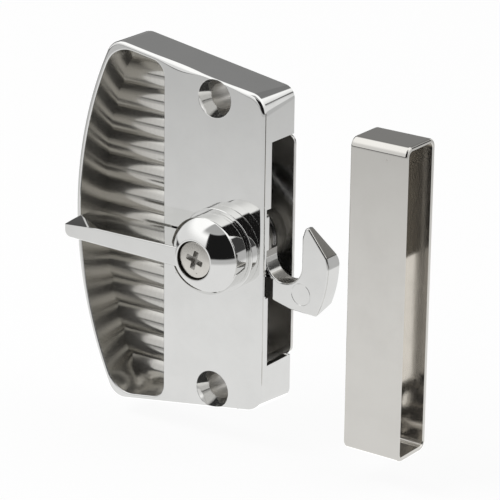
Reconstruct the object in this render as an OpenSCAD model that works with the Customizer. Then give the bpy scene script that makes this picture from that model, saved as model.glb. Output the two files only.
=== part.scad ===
// Sliding screen door latch: cast housing with a ribbed finger pull, a thumb lever
// that turns a hook on a common pivot, and a separate keeper box for the jamb.
// Frame: X to the jamb, Y into the door, Z up. The origin is the middle of the two
// mounting holes on the back plane, so the front face lies at Y = -housing_depth.
// All sizes are in millimetres.

/* [Housing] */
// Depth of the cast body from its front face to the mounting plane
housing_depth = 12.7; // [11.5:0.1:16]
// Distance from each hole centre to the sloped end edge
end_margin = 4.9; // [4.4:0.1:9]
// Slope of the top and bottom edges in degrees
edge_slope = 9.1; // [4:0.1:12]
// Distance from the hole line to the latch side wall
hook_side = 14.9; // [14.5:0.1:20]
// Thickness of the cast walls
wall = 1.4; // [1:0.05:1.8]
// Thickness of the front plate
front_plate = 2.2; // [2:0.05:3]
// Round of the two corners on the latch side
side_corner = 3.2; // [1.5:0.1:6]
// Round of the two corners on the pull side
pull_corner = 5.0; // [3:0.1:8]
// Small bevel round the front edge
edge_bevel = 0.6; // [0.2:0.05:0.9]

/* [Mounting holes] */
// Distance between the two hole centres
hole_spacing = 76.2; // [72:0.1:80]
// Radius of the through hole
hole_radius = 3.2; // [2:0.1:3.6]
// Radius of the countersink at the front face
sink_radius = 5.06; // [4:0.05:6]
// Depth of the countersink
sink_depth = 3.1; // [1.5:0.1:5]
// Radius of the boss round each hole
boss_radius = 7.4; // [6.5:0.1:8]

/* [Finger pull] */
// Distance from the hole line to the straight edge of the pull
pull_edge = 15.4; // [15:0.1:18]
// Distance from the hole line to the outermost point of the curved side
pull_reach = 43.4; // [40:0.1:50]
// Radius of the curved side
pull_radius = 103; // [90:1:140]
// Width of the rim round the pull
rim = 1.4; // [1:0.05:2.2]
// Depth of the valleys between the ribs
pull_depth = 11.5; // [9:0.1:11.9]
// Height of the ribs above the valleys
rib_height = 1.8; // [0.8:0.1:2.6]
// Distance from rib to rib
rib_pitch = 6.65; // [6:0.05:9]
// Round of the pull corners on the curved side
pull_inner_corner = 7.5; // [5:0.1:10]
// Round of the pull corners at the straight edge
pull_edge_corner = 4.0; // [2:0.1:6]

/* [Side slot] */
// Half height of the slot in the latch side
slot_half = 29.0; // [28:0.1:29.8]
// Depth of the slot's front edge above the pivot
slot_front = 3.3; // [2.6:0.05:4]
// Depth of the slot's front edge below the pivot, where the hook swings through
slot_low_front = 2.5; // [2.4:0.05:3]
// Radius of the hook pocket that breaks through the side wall as a notch
pocket_radius = 16.4; // [15.9:0.1:18]
// Depth at which the hook pocket starts
pocket_front = 1.5; // [1.3:0.05:1.6]

/* [Pivot] */
// Distance from the hole line to the pivot
pivot_x = 3.25; // [2.5:0.05:4]
// Height of the pivot above the middle of the holes
pivot_z = 0.6; // [-0.5:0.1:1.2]
// Radius of the hook's front journal
journal_radius = 6.0; // [5.4:0.1:6.6]
// Radius of the hook's rear journal
rear_journal = 4.0; // [3.2:0.1:4.6]
// Side of the square that drives the hook
square_side = 6.8; // [5.5:0.1:7.2]

/* [Lever] */
// Radius of the collar at the foot of the knob
collar_radius = 10.7; // [10.3:0.1:12]
// Height of the collar
collar_height = 3.1; // [2:0.1:4]
// Radius of the knob
knob_radius = 9.8; // [9.3:0.1:10.6]
// Bevel of the collar's front edge
collar_bevel = 0.5; // [0.3:0.05:0.8]
// Height of the knob above the front face
knob_height = 12.7; // [11.5:0.1:14]
// Height of the bevelled part of the knob
knob_bevel = 4.1; // [3:0.1:5]
// Radius of the knob's top
knob_top = 5.35; // [5.2:0.05:7]
// Reach of the blade from the pivot
blade_reach = 40.4; // [34:0.1:46]
// Half thickness of the blade at the knob
blade_root = 2.6; // [2:0.1:3.4]
// Half thickness of the blade at its tip
blade_tip = 1.95; // [1.4:0.05:2.6]
// Gap between the blade and the front face
blade_gap = 0.8; // [0.4:0.1:2]

/* [Lever screw] */
// Radius of the screw head
head_radius = 4.65; // [4:0.05:4.7]
// Height of the screw head
head_height = 1.8; // [1.2:0.1:2.2]
// Radius of the screw shank
screw_radius = 1.9; // [1.5:0.05:2.1]
// Length of each arm of the cross recess, from end to end
cross_length = 5.0; // [4:0.1:6]
// Width of the cross recess
cross_width = 0.9; // [0.7:0.05:1.2]
// Depth of the cross recess
cross_depth = 1.2; // [0.8:0.1:1.4]

/* [Hook] */
// Depth of the hub's front face below the housing face
hook_front = 2.0; // [1.95:0.01:2.1]
// Depth of the front face of the hook's arm
arm_front = 2.6; // [2.55:0.01:3]
// Thickness of the hook
hook_thick = 5.2; // [4.4:0.1:6]
// Outer radius of the hook about the pivot
hook_reach = 29.2; // [28:0.1:29.5]
// Distance from the pivot to the throat
throat_near = 10.7; // [10.4:0.1:11.3]
// Width of the throat
throat_width = 10.75; // [9:0.05:12]
// Height of the middle of the throat's round
throat_level = -1.3; // [-2:0.1:0]
// Height of the hook's tip above the pivot
tip_height = 8.6; // [7:0.1:10]
// Depth of the hook's straight bottom edge below the pivot
hook_bottom = 13.5; // [12:0.1:14]
// Radius of the hub
hub_radius = 10.6; // [9.5:0.1:10.9]

/* [Washers] */
// Outer radius of the thrust washer in front of the hub
thrust_radius = 10; // [8:0.1:12]
// Outer radius of the wave washer behind the hub
wave_radius = 7.0; // [6:0.1:8]
// Height of the wave washer
wave_height = 0.8; // [0.5:0.05:1]
// Radius of the hollows that make its waves
wave_cut = 2.1; // [1.8:0.1:2.4]

/* [Spring] */
// Wire radius of the detent spring
wire = 0.6; // [0.4:0.05:0.7]
// Mean radius of the spring coil
coil_radius = 3.1; // [2.6:0.1:3.6]
// Angle at which the spring leg meets the hub, in degrees
leg_angle = 50; // [44:1:60]

/* [Back plate] */
// Thickness of the steel back plate
plate_thick = 0.9; // [0.7:0.05:1.2]
// Distance by which the plate stands out of the side slot
plate_lip = 0.8; // [0.3:0.1:1.5]
// Distance of the rivets from the middle line of the mechanism
rivet_x = 11.0; // [10:0.1:11.2]
// Height of the rivets above and below the middle
rivet_z = 31.2; // [31:0.1:31.6]
// Radius of the rivet shank
rivet_radius = 1.1; // [0.8:0.05:1.2]
// Radius of the rivet head
rivet_head = 1.9; // [1.5:0.05:2.1]
// Length of the rivet
rivet_length = 5.2; // [4:0.1:6]
// Radius of the post that takes the rivet
rivet_post = 2.1; // [1.9:0.05:2.4]

/* [Keeper] */
// Distance from the hole line to the near wall of the keeper
keeper_x = 39.6; // [36:0.1:60]
// Width of the keeper
keeper_width = 15.9; // [14:0.1:22]
// Height of the keeper
keeper_height = 80; // [79:0.5:90]
// Depth of the keeper
keeper_depth = 12.7; // [12.2:0.1:16]
// Height of the keeper's middle
keeper_z = -4.1; // [-8:0.1:2]
// Wall of the keeper
keeper_wall = 1.2; // [0.8:0.05:1.8]
// Round of the keeper's long edges
keeper_round = 2.4; // [1.9:0.1:3]
// Top of the hook slot above the keeper's middle
keeper_slot_top = 3; // [-2:0.5:6]
// Bottom of the hook slot below the keeper's middle
keeper_slot_low = 31; // [28:0.5:32]
// Width of the hook slot
keeper_slot_width = 8; // [6.5:0.1:8.5]
// Distance between the two keeper screw holes
keeper_spacing = 71; // [70:0.1:72]
// Radius of the keeper screw holes
keeper_hole = 2.2; // [1.6:0.1:2.4]

/* [Fits] */
// Radial play of a part that turns
run_fit = 0.05; // [0.02:0.01:0.1]
// Gap between two faces that pass each other
face_gap = 0.05; // [0.03:0.01:0.1]
// Gap round a part that is set in place
seat_gap = 0.02; // [0.01:0.01:0.04]

/* [Hidden] */
eps = 0.05;
fine = 180;
mid = 64;
rib_fn = 40;
hole_half = hole_spacing / 2;
half_height = hole_half + end_margin;
k = tan(edge_slope);
nl = sqrt(1 + k * k);
arc_x = pull_radius - pull_reach;
cavity_left = -pull_edge + wall;
cavity_right = hook_side - wall;
finger_in = throat_near + throat_width;
finger_w = hook_reach - finger_in;
hook_back = arm_front + hook_thick;
washer_top = housing_depth - plate_thick - face_gap;
hub_boss_end = washer_top - wave_height - face_gap;
rib_radius = (pow(rib_pitch / 2, 2) + pow(rib_height, 2)) / (2 * rib_height);
outline_reach = half_height + k * pull_reach;
rib_count = ceil(outline_reach / rib_pitch);
leg_out = hub_radius + wire + face_gap;
leg_x = pivot_x + leg_out * cos(leg_angle);
leg_z = pivot_z + leg_out * sin(leg_angle);
leg_up = 16;
leg_down = 2.2;
coil_x = leg_x - leg_up * sin(leg_angle) + coil_radius * cos(leg_angle);
coil_z = leg_z + leg_up * cos(leg_angle) + coil_radius * sin(leg_angle);
coil_front = 4.7;
coil_pitch = 2 * wire + 0.5;
coil_turns = 3;
coil_steps = 24;
coil_end = round(coil_steps * (coil_turns + (leg_angle - 90) / 360));
post_radius = coil_radius - wire - 0.15;
head_seat = knob_height - head_height;
screw_end = 7.5;
socket_end = 6.3;
neck_radius = 7.0;

// distance of the top edge line from the origin after an inset
function line_d(inset) = half_height / nl - inset;

// middle of the round between the top edge and the curved side
function left_centre(inset, r) =
    let (a = line_d(inset) - r - arc_x * k / nl,
         b = sqrt(pow(pull_radius - inset - r, 2) - a * a))
    [arc_x + a * k / nl - b / nl, a / nl + b * k / nl];

// middle of the round between the top edge and an upright line at x
function right_centre(inset, x, r) =
    [x - r, (line_d(inset) - r) * nl - (x - r) * k];

// point of the curved side where a corner round at c starts
function arc_point(inset, c) =
    let (v = c - [arc_x, 0])
    [arc_x, 0] + v / norm(v) * (pull_radius - inset);

function flip(p) = [p[0], -p[1]];

// outline with sloped top and bottom, a curved left side and a straight right side
module taper_outline(inset, right_x, r_left, r_right) {
    cl = left_centre(inset, r_left);
    cr = right_centre(inset, right_x, r_right);
    n = [k / nl, 1 / nl];
    ta = arc_point(inset, cl);
    top_l = cl + r_left * n;
    top_r = cr + r_right * n;
    side = [right_x, cr[1]];
    far = -pull_reach - 5;
    intersection() {
        translate([arc_x, 0])
            circle(r = pull_radius - inset, $fn = fine);
        polygon([side, top_r, top_l, ta, [far, ta[1]], [far, -ta[1]],
                 flip(ta), flip(top_l), flip(top_r), flip(side)]);
    }
    for (s = [-1, 1]) {
        translate([cl[0], s * cl[1]])
            circle(r = r_left, $fn = mid);
        translate([cr[0], s * cr[1]])
            circle(r = r_right, $fn = mid);
    }
}

module body_outline(inset) {
    taper_outline(inset, hook_side - inset, pull_corner - inset, side_corner - inset);
}

module pull_outline() {
    taper_outline(rim, -pull_edge, pull_inner_corner, pull_edge_corner);
}

// a flat shape drawn in X and Z, carried from one depth below the front face to another
module slab(from, to) {
    translate([0, to - housing_depth, 0])
        rotate([90, 0, 0])
            linear_extrude(height = to - from)
                children();
}

// a round pin along Y between two depths below the front face
module pin(x, z, r, from, to, fn = 64) {
    translate([x, to - housing_depth, z])
        rotate([90, 0, 0])
            cylinder(r = r, h = to - from, $fn = fn);
}

// a cone along Y, with its radius at each of the two depths
module cone(x, z, r_from, r_to, from, to, fn = 64) {
    translate([x, to - housing_depth, z])
        rotate([90, 0, 0])
            cylinder(r1 = r_to, r2 = r_from, h = to - from, $fn = fn);
}

module cavity() {
    difference() {
        intersection() {
            slab(front_plate, housing_depth + eps)
                body_outline(wall);
            translate([cavity_left, -housing_depth, -outline_reach])
                cube([hook_side - cavity_left, housing_depth + 1, 2 * outline_reach]);
        }
        for (s = [-1, 1])
            pin(0, s * hole_half, boss_radius, 0, housing_depth);
        for (x = [-1, 1], s = [-1, 1])
            pin(x * rivet_x, s * rivet_z, rivet_post, 0, housing_depth - plate_thick, 32);
        pin(coil_x, coil_z, post_radius, 0, coil_front + coil_turns * coil_pitch + wire, 32);
    }
}

module pull_pocket() {
    difference() {
        slab(-eps, pull_depth)
            pull_outline();
        for (i = [-rib_count : rib_count - 1])
            translate([-pull_reach - 1, pull_depth - rib_height + rib_radius - housing_depth,
                       (i + 0.5) * rib_pitch])
                rotate([0, 90, 0])
                    cylinder(r = rib_radius, h = pull_reach - pull_edge + 2, $fn = rib_fn);
    }
}

module housing() {
    color([0.80, 0.81, 0.83])
    difference() {
        hull() {
            slab(0, eps)
                body_outline(edge_bevel);
            slab(edge_bevel, housing_depth)
                body_outline(0);
        }
        pull_pocket();
        cavity();
        // side slot, open to the back so that the back plate closes it
        translate([cavity_right - 0.5, slot_front - housing_depth, -slot_half])
            cube([wall + 2, housing_depth, 2 * slot_half]);
        // the slot starts nearer to the front where the hook swings through
        translate([cavity_right - 0.5, slot_low_front - housing_depth, -slot_half])
            cube([wall + 2, housing_depth, slot_half + pivot_z]);
        // round pocket for the hook behind the front plate
        intersection() {
            pin(pivot_x, pivot_z, pocket_radius, pocket_front, slot_front + eps, 120);
            translate([cavity_left, -housing_depth, -2 * pocket_radius])
                cube([4 * pocket_radius, housing_depth, 4 * pocket_radius]);
        }
        // pivot bore
        pin(pivot_x, pivot_z, journal_radius + run_fit, -1, front_plate + 1);
        // countersunk mounting holes
        for (s = [-1, 1]) {
            pin(0, s * hole_half, hole_radius, -1, housing_depth + 1);
            cone(0, s * hole_half, sink_radius, hole_radius, 0, sink_depth);
        }
        // blind holes for the plate rivets
        for (x = [-1, 1], s = [-1, 1])
            pin(x * rivet_x, s * rivet_z, rivet_radius + seat_gap,
                housing_depth - rivet_length - 0.3, housing_depth + 1, 24);
    }
}

module blade() {
    reach = blade_reach;
    mid_z = -0.3;
    back = -housing_depth - blade_gap;
    front = -housing_depth - knob_height + 0.3;
    r = 1.6;
    translate([pivot_x, 0, pivot_z])
    intersection() {
        // front view
        rotate([90, 0, 0])
            linear_extrude(height = housing_depth + knob_height)
                polygon([[0, mid_z + blade_root], [-reach, mid_z + blade_tip],
                         [-reach, mid_z - blade_tip], [0, mid_z - blade_root]]);
        // plan view with round corners at the tip
        translate([0, 0, -5])
            linear_extrude(height = 10)
                union() {
                    translate([-reach, front + r])
                        square([reach, back - front - 2 * r]);
                    translate([-reach + r, front])
                        square([reach - r, back - front]);
                    translate([-reach + r, front + r])
                        circle(r = r, $fn = 32);
                    translate([-reach + r, back - r])
                        circle(r = r, $fn = 32);
                }
    }
}

module thumb_lever() {
    color([0.82, 0.83, 0.85])
    difference() {
        union() {
            pin(pivot_x, pivot_z, neck_radius, -collar_height - 1, -face_gap);
            pin(pivot_x, pivot_z, knob_radius, -knob_height + knob_bevel,
                -collar_height - 2 * face_gap, 96);
            cone(pivot_x, pivot_z, knob_top, knob_radius, -knob_height,
                 -knob_height + knob_bevel, 96);
            difference() {
                blade();
                // the blade keeps clear of the collar
                pin(pivot_x, pivot_z, collar_radius + 0.3, -collar_height - 2 * face_gap, 1, 96);
            }
        }
        // square socket over the hook's square
        translate([pivot_x - square_side / 2 - seat_gap, -housing_depth - socket_end,
                   pivot_z - square_side / 2 - seat_gap])
            cube([square_side + 2 * seat_gap, socket_end + 1, square_side + 2 * seat_gap]);
        // screw hole and seat of the screw head
        pin(pivot_x, pivot_z, screw_radius + 0.15, -knob_height - 1, 0, 32);
        pin(pivot_x, pivot_z, head_radius + 0.25, -knob_height - 1, -head_seat);
    }
}

module lever_screw() {
    color([0.70, 0.71, 0.74])
    difference() {
        union() {
            pin(pivot_x, pivot_z, head_radius, -knob_height + 0.1, -head_seat - seat_gap);
            pin(pivot_x, pivot_z, screw_radius, -head_seat - 1, screw_end, 32);
        }
        // cross recess
        translate([pivot_x, -housing_depth - knob_height, pivot_z])
            rotate([0, 16, 0])
                for (a = [0, 90])
                    rotate([0, a, 0])
                        translate([-cross_length / 2, -1, -cross_width / 2])
                            cube([cross_length, cross_depth + 1.1, cross_width]);
    }
}

module lever_collar() {
    color([0.80, 0.81, 0.83])
    difference() {
        union() {
            pin(pivot_x, pivot_z, collar_radius, -collar_height + collar_bevel, -face_gap, 96);
            cone(pivot_x, pivot_z, collar_radius - collar_bevel, collar_radius,
                 -collar_height - face_gap, -collar_height + collar_bevel, 96);
        }
        pin(pivot_x, pivot_z, neck_radius + seat_gap, -collar_height - 1, 1);
    }
}

// outline of the hook about the pivot, without the hub
module hook_outline() {
    r = throat_width / 2;
    difference() {
        intersection() {
            circle(r = hook_reach, $fn = 160);
            polygon([[0, -hub_radius * 0.9], [6, -hub_radius * 0.9], [13.5, 1.5 - hook_bottom],
                     [16.2, 0.5 - hook_bottom], [18.4, -hook_bottom],
                     [hook_reach - 4.4, 0.1 - hook_bottom],
                     [hook_reach - 3.0, 0.5 - hook_bottom],
                     [hook_reach - 0.7, -6.3], [hook_reach, -4], [hook_reach, -0.8],
                     [hook_reach - 0.5, 1.2], [hook_reach - 1.5, tip_height - 5.7],
                     [finger_in + 0.21 * finger_w, tip_height],
                     [finger_in + 0.11 * finger_w, tip_height - 0.7],
                     [finger_in, tip_height - 2.4],
                     [finger_in, throat_level], [throat_near, throat_level],
                     [throat_near, 0.4], [0, 0.4]]);
        }
        translate([throat_near + r, throat_level])
            circle(r = r, $fn = mid);
    }
}

// thin shoulder of the hook beside the throat
module shoulder_outline() {
    polygon([[0, 0], [throat_near, 0], [throat_near, tip_height + 0.2],
             [throat_near - 0.8, tip_height + 1.0], [4, tip_height + 1.0], [0, 9]]);
}

module hook() {
    color([0.78, 0.79, 0.81])
    difference() {
        union() {
            translate([pivot_x, 0, pivot_z]) {
                difference() {
                    slab(arm_front, hook_back)
                        hook_outline();
                    // the arm is set back where it leaves the housing
                    slab(arm_front - 1, arm_front + 2.2)
                        difference() {
                            translate([hub_radius * 0.6, -hook_bottom - 1])
                                square([13.2 - hub_radius * 0.6, hook_bottom + 1 + throat_level
                                        - throat_width / 2 + 0.6]);
                            circle(r = hub_radius, $fn = mid);
                        }
                }
                slab(hook_front, hook_front + 2)
                    shoulder_outline();
            }
            pin(pivot_x, pivot_z, hub_radius, hook_front, hook_back, 96);
            pin(pivot_x, pivot_z, journal_radius, 0, hook_front + 1);
            pin(pivot_x, pivot_z, 7.2, hook_back - 1, hub_boss_end);
            pin(pivot_x, pivot_z, rear_journal, hub_boss_end - 1, housing_depth - 0.1, 48);
            translate([pivot_x - square_side / 2, -housing_depth - socket_end + 0.3,
                       pivot_z - square_side / 2])
                cube([square_side, socket_end + 0.5, square_side]);
        }
        // tapped hole for the lever screw
        pin(pivot_x, pivot_z, screw_radius + seat_gap, -socket_end - 1, screw_end + 0.5, 32);
    }
}

module thrust_washer() {
    color([0.55, 0.55, 0.53])
    difference() {
        pin(pivot_x, pivot_z, thrust_radius, pocket_front + seat_gap, hook_front - face_gap, 64);
        pin(pivot_x, pivot_z, journal_radius + 0.1, 0, hook_front + 1);
    }
}

module wave_washer() {
    color([0.60, 0.60, 0.62])
    difference() {
        pin(pivot_x, pivot_z, wave_radius, washer_top - wave_height + seat_gap, washer_top, 64);
        pin(pivot_x, pivot_z, rear_journal + 0.15, washer_top - 2, washer_top + 1, 48);
        // three shallow waves on each face
        for (a = [0 : 60 : 300])
            translate([pivot_x, (a % 120 == 0 ? -1 : 1) * (wave_cut + 0.2)
                       + washer_top - wave_height / 2 - housing_depth, pivot_z])
                rotate([0, a, 0])
                    cylinder(r = wave_cut, h = wave_radius + 2, $fn = 32);
    }
}

// centre line of the spring: leg on the hub, turns round the post, leg on the pull's wall
function turn_point(i) =
    let (a = leg_angle - 180 - 360 * i / coil_steps)
    [coil_x + coil_radius * cos(a), coil_front + coil_pitch * i / coil_steps - housing_depth,
     coil_z + coil_radius * sin(a)];

function spring_path() =
    let (turns = [for (i = [0 : coil_end]) turn_point(i)],
         first = turns[0],
         last = turns[len(turns) - 1],
         a_end = [first[0] + (leg_up + leg_down) * sin(leg_angle), first[1],
                  first[2] - (leg_up + leg_down) * cos(leg_angle)],
         b_end = [cavity_left + 0.1 + wire, last[1] + 0.2, last[2]])
    concat([a_end], turns, [b_end]);

// direction of a path at one of its points
function path_way(p, i) =
    let (v = p[min(i + 1, len(p) - 1)] - p[max(i - 1, 0)])
    v / norm(v);

// a tube with flat ends along a path that stays nearly square to Y
module tube(p, r, sides) {
    n = len(p);
    points = [for (i = [0 : n - 1], j = [0 : sides - 1])
        let (w = path_way(p, i),
             u = cross(w, [0, 1, 0]) / norm(cross(w, [0, 1, 0])),
             v = cross(u, w),
             a = 360 * (j + 0.5) / sides)
        p[i] + r * (cos(a) * u + sin(a) * v)];
    skin = [for (i = [0 : n - 2], j = [0 : sides - 1])
        let (a = i * sides + j, b = i * sides + (j + 1) % sides)
        each [[a, b, b + sides], [a, b + sides, a + sides]]];
    cap = [for (j = [1 : sides - 2])
        each [[0, j + 1, j], [(n - 1) * sides, (n - 1) * sides + j, (n - 1) * sides + j + 1]]];
    polyhedron(points = points, faces = concat(skin, cap), convexity = 8);
}

module detent_spring() {
    p = spring_path();
    // least gap between the turns, measured on points one turn apart
    gap = min([for (i = [1 : len(p) - 2 - coil_steps]) norm(p[i + coil_steps] - p[i])]) - 2 * wire;
    echo(spring_gap = gap);
    color([0.62, 0.63, 0.65])
        tube(p, wire, 6);
}

module back_plate() {
    color([0.72, 0.72, 0.73])
    difference() {
        union() {
            slab(housing_depth - plate_thick, housing_depth)
                translate([cavity_left + 0.2, -rivet_z - 2.2])
                    square([cavity_right - cavity_left - 0.4, 2 * rivet_z + 4.4]);
            slab(housing_depth - plate_thick, housing_depth)
                translate([0, -slot_half + 0.15])
                    square([hook_side + plate_lip, 2 * slot_half - 0.3]);
        }
        for (s = [-1, 1])
            pin(0, s * hole_half, boss_radius + 0.2, 0, housing_depth + 1);
        pin(pivot_x, pivot_z, rear_journal + run_fit, 0, housing_depth + 1, 48);
        for (x = [-1, 1], s = [-1, 1]) {
            pin(x * rivet_x, s * rivet_z, rivet_radius + seat_gap, 0, housing_depth + 1, 24);
            cone(x * rivet_x, s * rivet_z, rivet_radius + seat_gap, rivet_head + seat_gap,
                 housing_depth - plate_thick / 2, housing_depth, 24);
        }
    }
}

module plate_rivets() {
    color([0.66, 0.66, 0.68])
    for (x = [-1, 1], s = [-1, 1])
        union() {
            pin(x * rivet_x, s * rivet_z, rivet_radius, housing_depth - rivet_length,
                housing_depth, 24);
            cone(x * rivet_x, s * rivet_z, rivet_radius, rivet_head,
                 housing_depth - plate_thick / 2, housing_depth, 24);
        }
}

// round cornered rectangle in X and Y of the sketch, centred
module round_box(a, b, r) {
    square([a - 2 * r, b], center = true);
    square([a, b - 2 * r], center = true);
    for (x = [-1, 1], y = [-1, 1])
        translate([x * (a / 2 - r), y * (b / 2 - r)])
            circle(r = r, $fn = 32);
}

module keeper() {
    color([0.80, 0.81, 0.83])
    difference() {
        translate([keeper_x, -housing_depth + keeper_depth / 2, keeper_z])
            rotate([90, 0, 90])
                linear_extrude(height = keeper_width)
                    round_box(keeper_depth, keeper_height, keeper_round);
        translate([keeper_x + keeper_wall, -housing_depth + keeper_depth / 2, keeper_z])
            rotate([90, 0, 90])
                linear_extrude(height = keeper_width)
                    round_box(keeper_depth - 2 * keeper_wall, keeper_height - 2 * keeper_wall,
                              keeper_round - keeper_wall);
        // slot for the hook in the near wall
        translate([keeper_x - 1, -housing_depth + keeper_depth / 2 - keeper_slot_width / 2,
                   keeper_z - keeper_slot_low])
            cube([keeper_wall + 2, keeper_slot_width, keeper_slot_low + keeper_slot_top]);
        for (s = [-1, 1])
            translate([keeper_x - 1, -housing_depth + keeper_depth / 2,
                       keeper_z + s * keeper_spacing / 2])
                rotate([0, 90, 0])
                    cylinder(r = keeper_hole, h = keeper_wall + 2, $fn = 32);
    }
}

housing();
thumb_lever();
lever_screw();
lever_collar();
hook();
thrust_washer();
wave_washer();
detent_spring();
back_plate();
plate_rivets();
keeper();
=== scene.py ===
"""Looks of a sliding screen door latch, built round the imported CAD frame.

The housing with its ribbed pull, the lever, the hook, the spring, the back plate and the
keeper are modelled afresh as smooth castings and pressings. The washers and the rivets keep
their CAD meshes. Frame: X to the jamb, Y into the door, Z up. Sizes in the classes are in
millimetres, and "depth" is the distance behind the housing's front face.
"""
import logging
import math
from collections.abc import Callable, Iterable, Sequence
from dataclasses import dataclass, field, replace
from enum import Enum

import bmesh
import bpy
from mathutils import Matrix, Vector


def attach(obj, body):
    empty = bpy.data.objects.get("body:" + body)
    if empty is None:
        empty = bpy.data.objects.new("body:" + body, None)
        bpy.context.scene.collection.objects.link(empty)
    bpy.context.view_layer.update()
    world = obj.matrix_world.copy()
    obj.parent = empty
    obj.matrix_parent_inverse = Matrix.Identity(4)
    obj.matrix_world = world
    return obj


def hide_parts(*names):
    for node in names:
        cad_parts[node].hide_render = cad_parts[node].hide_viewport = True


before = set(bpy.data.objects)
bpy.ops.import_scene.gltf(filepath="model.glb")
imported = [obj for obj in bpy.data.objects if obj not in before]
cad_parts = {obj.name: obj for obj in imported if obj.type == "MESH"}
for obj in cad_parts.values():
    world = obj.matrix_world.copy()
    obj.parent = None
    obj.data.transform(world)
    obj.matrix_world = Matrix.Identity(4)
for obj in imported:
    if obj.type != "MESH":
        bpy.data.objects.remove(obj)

Flat = tuple[float, float]
Colour = tuple[float, float, float]
Ring = list[Vector]
EdgeTest = Callable[[Vector, Vector], bool]
Grade = Callable[[float, float, float], float]

LOG = logging.getLogger("latch")
MM = 0.001
# Depth of the back plane behind the front face, then the places that several castings share.
FRONT = 12.7
PIVOT: Flat = (3.25, 0.6)
HOLE_Z = 38.1
RIVET: Flat = (11.0, 31.2)
RIVET_HOLE = 1.12
# Points of a profile start this far from the axis, and the loft's cap closes the rest.
CORE = 1.0
# Distance within which two points of a mesh are one, in metres.
SAME = 1e-6
# Grades of a casting's or pressing's faces, from plated and polished to bare, then on past BARE to painted
# shade, which darkens the colour towards near black.
POLISHED, RECESS, BARE, PAINTED_SHADE = 0.0, 0.5, 1.0, 1.5


class Body(Enum):
    """CAD bodies that the pieces ride on."""

    HOUSING = "housing_body"
    LEVER = "lever_body"


class Cut(Enum):
    """Ways in which one solid changes another."""

    LESS = "DIFFERENCE"
    PLUS = "UNION"


def spot(x: float, depth: float, z: float) -> Vector:
    """Point of the shared frame, in metres, from millimetres and a depth behind the front face."""
    return Vector((x, depth - FRONT, z)) * MM


def arc(centre: Flat, radius: float, start: float, end: float, steps: int) -> list[Flat]:
    """Points on an arc.

    Args:
        centre: middle of the arc.
        radius: radius of the arc.
        start: angle of the first point, in degrees.
        end: angle of the last point, in degrees.
        steps: number of equal steps between the two.

    Returns:
        steps + 1 points, both ends among them.
    """
    angles = [math.radians(start + (end - start) * i / steps) for i in range(steps + 1)]
    return [(centre[0] + radius * math.cos(a), centre[1] + radius * math.sin(a)) for a in angles]


def quarter(radius: float, steps: int) -> list[Flat]:
    """Points of a quarter round.

    Args:
        radius: radius of the round.
        steps: number of equal steps.

    Returns:
        For each point how far it is set in and how deep it lies, from the side to the face.
    """
    turns = [math.radians(90 * i / steps) for i in range(steps + 1)]
    return [(radius * (1 - math.cos(a)), radius * (1 - math.sin(a))) for a in turns]


def soften(corners: Sequence[tuple[float, float, float]], steps: int = 6) -> list[Flat]:
    """Outline whose corners are rounded.

    Args:
        corners: x, y and radius of each corner, in order round the outline.
        steps: number of steps in each round.

    Returns:
        The points of the outline; a corner of radius 0 stays one point.
    """
    points: list[Flat] = []
    count = len(corners)
    for i, (x, y, radius) in enumerate(corners):
        here = Vector((x, y))
        if radius <= 0:
            points.append((x, y))
            continue
        back = (Vector(corners[i - 1][:2]) - here).normalized()
        on = (Vector(corners[(i + 1) % count][:2]) - here).normalized()
        half = back.angle(on) / 2
        reach = radius / math.tan(half)
        middle = here + (back + on).normalized() * (radius / math.sin(half))
        first = here + back * reach - middle
        last = here + on * reach - middle
        turn = first.angle(last)
        side = 1 if first.x * last.y - first.y * last.x > 0 else -1
        begin = math.atan2(first.y, first.x)
        for n in range(steps + 1):
            a = begin + side * turn * n / steps
            points.append((middle.x + radius * math.cos(a), middle.y + radius * math.sin(a)))
    return points


def shrunk(points: Sequence[Flat], inset: float) -> list[Flat]:
    """Outline whose edges are all moved inwards.

    Args:
        points: points of the outline, in either order of turning.
        inset: distance of the move.

    Returns:
        As many points as were given.
    """
    count = len(points)
    area = sum(points[i - 1][0] * points[i][1] - points[i][0] * points[i - 1][1] for i in range(count))
    side = 1 if area > 0 else -1
    moved: list[Flat] = []
    for i, here in enumerate(points):
        middle = Vector(here)
        before = (middle - Vector(points[i - 1])).normalized()
        after = (Vector(points[(i + 1) % count]) - middle).normalized()
        inward = Vector((-(before.y + after.y), before.x + after.x)) * side
        inward.normalize()
        lean = max(0.35, inward.dot(Vector((-after.y, after.x)) * side))
        moved.append(tuple(middle + inward * (inset / lean)))
    return moved


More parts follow.
